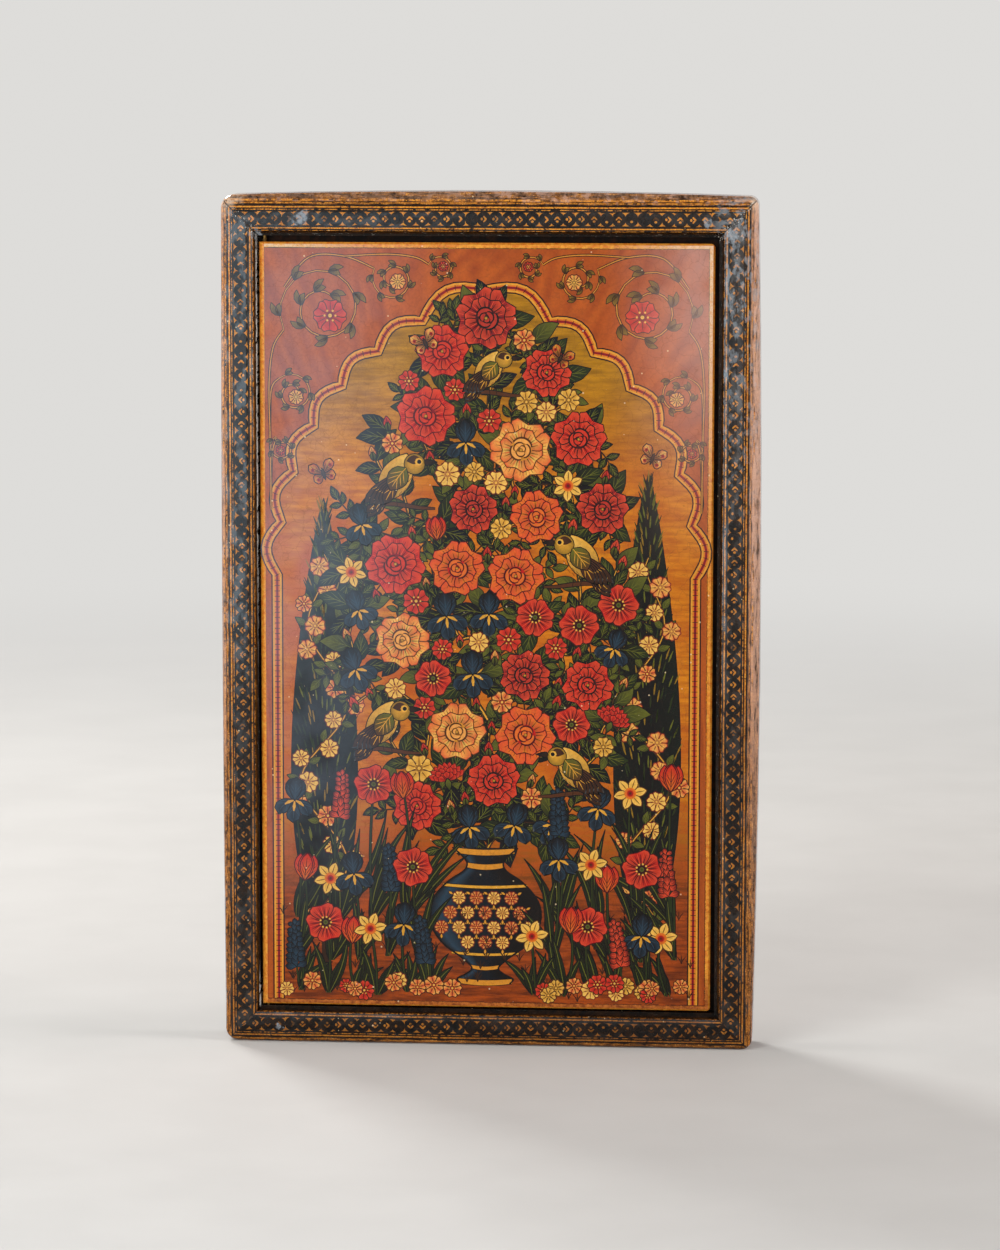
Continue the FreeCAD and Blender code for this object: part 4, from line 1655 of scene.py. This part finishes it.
foreground = Film(relief)
outline = smooth_curve([complex(x, z) for x, z in profile])
SHARES = (-1, -0.8, -0.45, 0.1, 0.7, 1)
BANDS = (  # Height, thickness and colour.
    (0.8, 1.5, GOLD), (5.0, 1.0, GOLD), (9.0, 0.7, STRAW),
    (28.6, 0.8, STRAW), (34.4, 1.5, GOLD), (38.6, 1.6, GOLD),
)
rows = [[vase_foot + complex(p.real * share, p.imag) for share in SHARES] for p in outline]
vase = Film()
vase.patch(rows, [[BLACK, SLATE, BLUE_BLACK, BLUE_BLACK, BLACK, BLACK] for row in rows], 0)
for side in (-1, 1):
    edge = [vase_foot + complex(side * p.real, p.imag) for p in outline]
    stroke(vase, edge, 0.5, BLACK, 3, blunt=0.05)
for height, thick, tone in BANDS:
    wide = min(outline, key=lambda p: abs(p.imag - height)).real
    line = [complex(wide * s / 8, height - 0.6 * math.cos(s / 8 * 1.5)) for s in range(-8, 9)]
    stalk(vase, [vase_foot + p for p in line], thick, 0.4, BLACK, tone, coat=1, blunt=0.1)
foreground.add(vase)
NET = 5.0
for k in range(4):
    for i in range(-3, 4):
        spot = vase_foot + complex((i + 0.5 * (k % 2)) * NET, 12.0 + k * NET * 0.86)
        wide = min(outline, key=lambda p: abs(vase_foot.imag + p.imag - spot.imag)).real
        if abs(spot.real - vase_foot.real) > wide - 2.7:
            continue
        one = Film()
        blossom(one, spot, 1.9, 0.3, CREAM if (i + k) % 2 else SCARLET, CREAM, CRIMSON)
        for way in (heading(30), heading(150), heading(270)):
            blade(one, spot + way * 1.9, way, 1.6, 0.8, GOLD, STRAW, 1, line=UMBER, weight=0.2)
        foreground.add(one)

# %% [markdown]
# Irises, tulips, hyacinths and daffodils rise from the earth at both sides of the vase, among long
# leaves, grass and low flowers. The plants farther back are painted first.


# %%
def plant(film, foot, height, kind):
    inward = (foot.real - shutter_middle) / 190
    for j in range(5):
        turn = math.pi / 2 + inward + chance.uniform(-0.4, 0.4)
        bend = inward + chance.uniform(-0.7, 0.7)
        spot = foot + chance.uniform(-1, 1)
        film.paint(long_leaf, spot, height * chance.uniform(0.5, 0.9), turn, bend)
    tip = foot + complex(chance.uniform(-2, 2), height)
    sway = chance.uniform(-1.6, 1.6)
    stem = [foot + (tip - foot) * i / 6 + sway * math.sin(math.pi * i / 6) for i in range(7)]
    film.paint(stalk, stem, 0.5, 0.4, BLACK, MOSS, blunt=0.2)
    upright = math.pi / 2 + chance.uniform(-0.2, 0.2)
    if kind == 0:
        film.paint(iris, tip, 5.4, upright)
    elif kind == 1:
        film.paint(tulip, tip - 3j, 5.4, upright)
    elif kind == 2:
        tones = chance.choice(((BLUE_BLACK, SLATE), (WINE, CORAL)))
        film.paint(spike, tip - 15j, 18.0, upright, chance, *tones)
    elif kind == 3:
        film.paint(narcissus, tip, 4.8, 0.2)
    else:
        film.paint(poppy, tip, 5.2, 0.3)


def grass(film, count):
    for k in range(count):
        one = Film()
        across = chance.uniform(field_left + 3, field_right - 3)
        foot = complex(across, chance.uniform(field_bottom, field_bottom + 26))
        for lean in (-0.5, 0.0, 0.5):
            bent, tip = heading(90 + 40 * lean) * 1.4, heading(90 + 60 * lean) * 2.6
            stroke(one, [foot, foot + bent, foot + tip], 0.34, UMBER, 0)
        film.add(one)


earth = Film(relief)
grass(earth, 90)
lay(earth, "earth_strokes", on_front, picture_paint)
clump_low = field_bottom + 1.0
PLANT_ROWS = ((22.0, 40.0, 10.5), (11.0, 27.0, 8.4), (1.0, 20.0, 7.6))  # Lift, height and step.
for row, (lift, tall, step) in enumerate(PLANT_ROWS):
    for side in (-1, 1):
        for k in range(6):
            x = side * (53.0 - step * k)
            if abs(x) < 15:
                continue
            across = shutter_middle + x + chance.uniform(-1, 1)
            foot = complex(across, clump_low + lift + chance.uniform(-1, 1))
            plant(foreground, foot, tall * chance.uniform(0.84, 1.1), (k * 2 + row + (side > 0)) % 5)
for k in range(24):
    x = chance.uniform(field_left + 5, field_right - 5)
    foot = complex(x, clump_low + chance.uniform(1.2, 5.0))
    if abs(foot.real - shutter_middle) < 9:
        continue
    size = chance.uniform(2.0, 2.9)
    foreground.paint(blossom, foot, size, any_turn(), *chance.choice(BLOSSOM_TONES))
lay(foreground, "garden_foreground", on_front, picture_paint)

# %% [markdown]
# The birds perch on twigs among the flowers, and butterflies fly in the gaps.

# %%
wildlife = Film(relief)
for x, z, size, facing in BIRDS:
    feet = complex(shutter_middle + x, shutter_low.z + z)
    perch = [feet + size * complex(facing * (t / 5 - 0.5) * 1.5, 0.05 * math.sin(t)) for t in range(6)]
    wildlife.paint(stalk, perch, 1.0, 0.5, BLACK, BROWN, blunt=0.4)
    wildlife.paint(bird, feet, size, facing)
for x, z, size, turn, wing in (
    (-17.0, 190.0, 4.4, 2.0, CREAM), (21.0, 186.0, 4.0, 1.1, STRAW),
    (-46.0, 153.0, 4.4, 1.9, STRAW), (47.0, 158.0, 4.2, 1.2, CREAM),
):
    wildlife.paint(butterfly, complex(shutter_middle + x, shutter_low.z + z), size, turn, wing)
lay(wildlife, "birds_and_butterflies", on_front, picture_paint)
print("highest coat", max(relief.values()), "which is", round(max(relief.values()) * COAT, 3), "mm")

# %% [markdown]
# ### Inside the shutter
# The inside is seen when the case is open. Such insides are plainer: a spray of roses and irises
# between tulips, on a dark red ground, with a ruled gold border. The same brush marks make it, and
# it has far fewer coats, because the shutter closes with little room over the mirror's slips.


# %%
def inside_material():
    material, shader, place = new_material("inside_ground", **LACQUER)
    x, y, z = place.xyz()
    streaks = place.scaled(1.0, 1.0, 0.5).noise(0.4, 4.0, 0.6)
    ground = streaks.ramp(0.3, 0.7).mix(pigment(112, 36, 20), pigment(72, 22, 14))
    dust = gold_dust(place, 1.2, 0.14, 0.5)
    inset = inset_from(shutter_low, shutter_high, x, z)
    border = inset.ramp(9.3, 9.1)
    colour = (dust * 0.8).mix(ground, GOLD)
    colour = border.mix(colour, pigment(24, 17, 13))
    upright = (z - shutter_low.z).under(shutter_high.z - z) - inset
    along = z + (x - z) * upright.math("LESS_THAN", 0.01)
    chain = use(chain_border, place, along=along, across=inset - 5.6)
    colour = (chain["Gold"] * border).mix(colour, GOLD)
    lines = ((2.6, 0.5, 0.45), (8.6, 0.4, 0.45), (10.2, 0.5, 0.45))
    colour = rule(place, colour, GOLD, inset, lines)
    varnish(shader, place, colour, crackle=0.3, dust=0.3, stain=0.5, depth=0.04)
    return material


inside = Film()
columns = (face_left, arc_middle, face_right)
levels = (shutter_low.z + 0.6, heart.imag, shutter_high.z - 0.6)
rows = [[complex(x, z) for x in columns] for z in levels]
inside.patch(rows, [[WINE] * 3 for row in rows], -1)
lay(inside, "inside_ground", on_inside, inside_material(), flip=True)

spray = Film()
foot = complex(arc_middle + 3.0, shutter_low.z + 26.0)
stem = [foot + complex(9.0 * math.sin(i / 20 * 4.2) - 3.0 * i / 20, 7.2 * i) for i in range(21)]
one = Film()
for k in range(5):
    blade(
        one, foot + complex(-42.0 + 13.0 * k, -3.0 + 1.2 * (k % 2)), 1, 34.0, 7.0, BROWN, UMBER, 3 * k,
        bend=-0.1, rim=OLIVE, line=BLACK, veins=2, vein=BROWN,
    )
spray.add(one)
for turn, long, bend in ((112, 66, 0.6), (68, 70, -0.6), (134, 46, 0.9), (48, 44, -0.9)):
    spray.paint(long_leaf, foot, long, math.radians(turn), bend, width=5.0)
spray.paint(stalk, stem, 1.3, 0.6, BLACK, OLIVE, tip=MOSS)
for step, side in ((5, 1), (6, -1), (9, 1), (11, -1), (14, 1), (16, -1)):
    way = heading(90 - side * 52)
    reach = 39.0 - step * 0.8
    twig = spine(stem[step], way, reach, side * 0.7, 8)
    spray.paint(stalk, twig, 0.7, 0.4, BLACK, OLIVE)
    for i in (1, 3, 5, 6):
        for lean in (-0.9, 0.9):
            turn = cmath.phase(way) + lean + side * 0.1 * i
            spray.paint(leaf, twig[i], 10.5, turn, chance, tones=(MOSS, OLIVE))
    if step in (5, 11):
        spray.paint(iris, twig[-1], 9.4, math.pi / 2)
    elif step in (6, 14):
        spray.paint(rose, twig[-1], 10.6, 0.4 * step, SCARLET, CRIMSON, WINE)
    else:
        spray.paint(blossom, twig[-1], 7.4, 0.2 * step, CREAM, CREAM, CRIMSON, count=6)
for step in range(3, 20, 2):
    turn = math.radians(145 if step % 4 == 1 else 35)
    spray.paint(leaf, stem[step], 11.0, turn, chance, tones=(MOSS, OLIVE))
for x, tall in ((-31.0, 34.0), (-17.0, 24.0), (19.0, 25.0), (33.0, 36.0)):
    line = [foot + complex(x * 0.5 * (1 + i / 8), tall * i / 8) for i in range(9)]
    spray.paint(stalk, line, 0.7, 0.4, BLACK, OLIVE)
    spray.paint(tulip, line[-1] - 2j, 6.6, math.pi / 2 - x / 90)
spray.paint(rose, stem[-1], 13.0, 0.2, CREAM, GOLD, BROWN)
spray.paint(butterfly, foot + complex(-38.0, 152.0), 6.6, 1.1, STRAW)
spray.paint(butterfly, foot + complex(34.0, 146.0), 6.0, 2.2, CREAM)
spray.paint(bud, stem[-1] + complex(13.0, 3.0), 4.0, 1.1, SCARLET)
spray.paint(bud, stem[-1] + complex(-13.0, 3.0), 4.0, 2.1, SCARLET)
lay(spray, "inside_spray", on_inside, picture_paint, flip=True)

# %% [markdown]
# ## Floor, lamps and camera
# The case stands in a pale round cove, whose floor curves up into a wall, so that it has the same
# plain backdrop from every side. A large lamp at the front left and a weaker one at the right light
# the picture, lamps at both sides bring out the edges, and one behind draws the shadow forwards.
# The camera doesn't see the lamps, and they are kept off the mirror, as a photographer shades a
# mirror, because it would show each lamp as a white patch.


# %%
LIT_FLOOR, FULL_GLOW = 260.0, 1150.0  # Between them the lamps' light gives way to an even glow.


def stage_material():
    material, shader, place = new_material("pale_floor", Roughness=0.75, Specular_IOR_Level=0.2)
    grain = place.noise(0.02, 3.0)
    colour = grain.ramp(0.2, 0.8).mix(pigment(204, 202, 198), pigment(198, 196, 192))
    feed(shader.inputs["Base Color"], colour)
    tree = material.node_tree
    rays = tree.nodes.new("ShaderNodeLightPath")
    seen = Wire(rays.outputs["Is Camera Ray"]) + Wire(rays.outputs["Is Glossy Ray"])
    seen = seen + Wire(rays.outputs["Is Transmission Ray"])
    backdrop = tree.nodes.new("ShaderNodeEmission")
    backdrop.inputs["Color"].default_value = (0.73, 0.72, 0.70, 1.0)
    blend_in = tree.nodes.new("ShaderNodeMixShader")
    x, y, z = place.xyz()
    feed(blend_in.inputs[0], seen * (x * x + y * y).root().ramp(LIT_FLOOR, FULL_GLOW))
    tree.links.new(shader.outputs[0], blend_in.inputs[1])
    tree.links.new(backdrop.outputs[0], blend_in.inputs[2])
    output = next(node for node in tree.nodes if node.type == "OUTPUT_MATERIAL")
    tree.links.new(blend_in.outputs[0], output.inputs["Surface"])
    return material


def make_stage():
    reach, bend, tall, turns = 2.4, 0.8, 1.5, 96
    line = [(0.001, 0.0), (0.4, 0.0), (0.9, 0.0), (reach - bend, 0.0)]
    for i in range(1, 13):
        angle = math.pi / 2 * i / 12
        line.append((reach - bend + bend * math.sin(angle), bend - bend * math.cos(angle)))
    line.append((reach, tall))
    round_it = [cmath.exp(1j * TURN * k / turns) for k in range(turns)]
    spots = [(r * way.real, r * way.imag, z) for r, z in line for way in round_it]
    faces = []
    for i in range(len(line) - 1):
        for k in range(turns):
            at, beyond = i * turns + k, i * turns + (k + 1) % turns
            faces.append((at, at + turns, beyond + turns, beyond))
    piece = new_piece("floor", spots, faces, stage_material())
    piece.data.shade_smooth()


make_stage()
off_mirror = bpy.data.collections.new("shaded from the lamps")
for piece in (nodes["mirror_glass"], mirror_back):
    off_mirror.objects.link(piece)
for entry in off_mirror.collection_objects:
    entry.light_linking.link_state = "EXCLUDE"


def lamp(name, place, aim, size, watts, colour=(1, 1, 1)):
    light = bpy.data.lights.new(name, "AREA")
    light.shape = "RECTANGLE"
    light.size, light.size_y = size
    light.energy = watts
    light.color = colour
    piece = bpy.data.objects.new(name, light)
    piece.location = place
    piece.rotation_euler = (Vector(aim) - Vector(place)).to_track_quat("-Z", "Y").to_euler()
    piece.visible_camera = False
    piece.light_linking.receiver_collection = off_mirror
    bpy.context.scene.collection.objects.link(piece)


middle = (0.0, 0.0, 0.12)
lamp("key", (-0.9, -1.3, 1.2), middle, (0.8, 0.8), 11.5, (1.0, 0.97, 0.93))
lamp("fill", (0.3, -1.6, 0.36), middle, (0.56, 0.68), 3.6)
lamp("left_sheen", (-0.38, -0.72, 0.22), (-0.1, 0.0, 0.12), (0.6, 0.44), 2.6, (0.62, 0.84, 1.0))
lamp("right_edge", (1.5, -0.1, 0.8), middle, (0.7, 1.0), 17.0, (1.0, 0.93, 0.92))
lamp("left_edge", (-1.5, 0.0, 0.8), middle, (0.7, 1.0), 11.0, (1.0, 0.94, 0.92))
lamp("behind", (-0.5, 0.62, 0.75), middle, (0.3, 0.3), 6.0)

world = bpy.data.worlds.new("room")
bpy.context.scene.world = world
world.use_nodes = True
world.node_tree.nodes["Background"].inputs["Color"].default_value = (1.0, 1.0, 1.0, 1.0)
world.node_tree.nodes["Background"].inputs["Strength"].default_value = 0.27

# %% [markdown]
# The camera stands where a perspective fit of the photographed corners puts it: a little above the
# case and to its right, 1.3 m away.

# %%
camera = bpy.data.cameras.new("camera")
camera.sensor_width = 36.0
camera.lens = 131.0
viewer = bpy.data.objects.new("camera", camera)
eye = Vector((104.5, -1278.0, 284.5)) * MM
right = Vector((0.99682, 0.07973, 0.00133))
forward = Vector((-0.07892, 0.98877, -0.12688))
upward = right.cross(forward)
viewer.matrix_world = Matrix.Translation(eye) @ Matrix((right, upward, -forward)).transposed().to_4x4()
bpy.context.scene.collection.objects.link(viewer)
bpy.context.scene.camera = viewer
bpy.context.scene.view_settings.view_transform = "Standard"
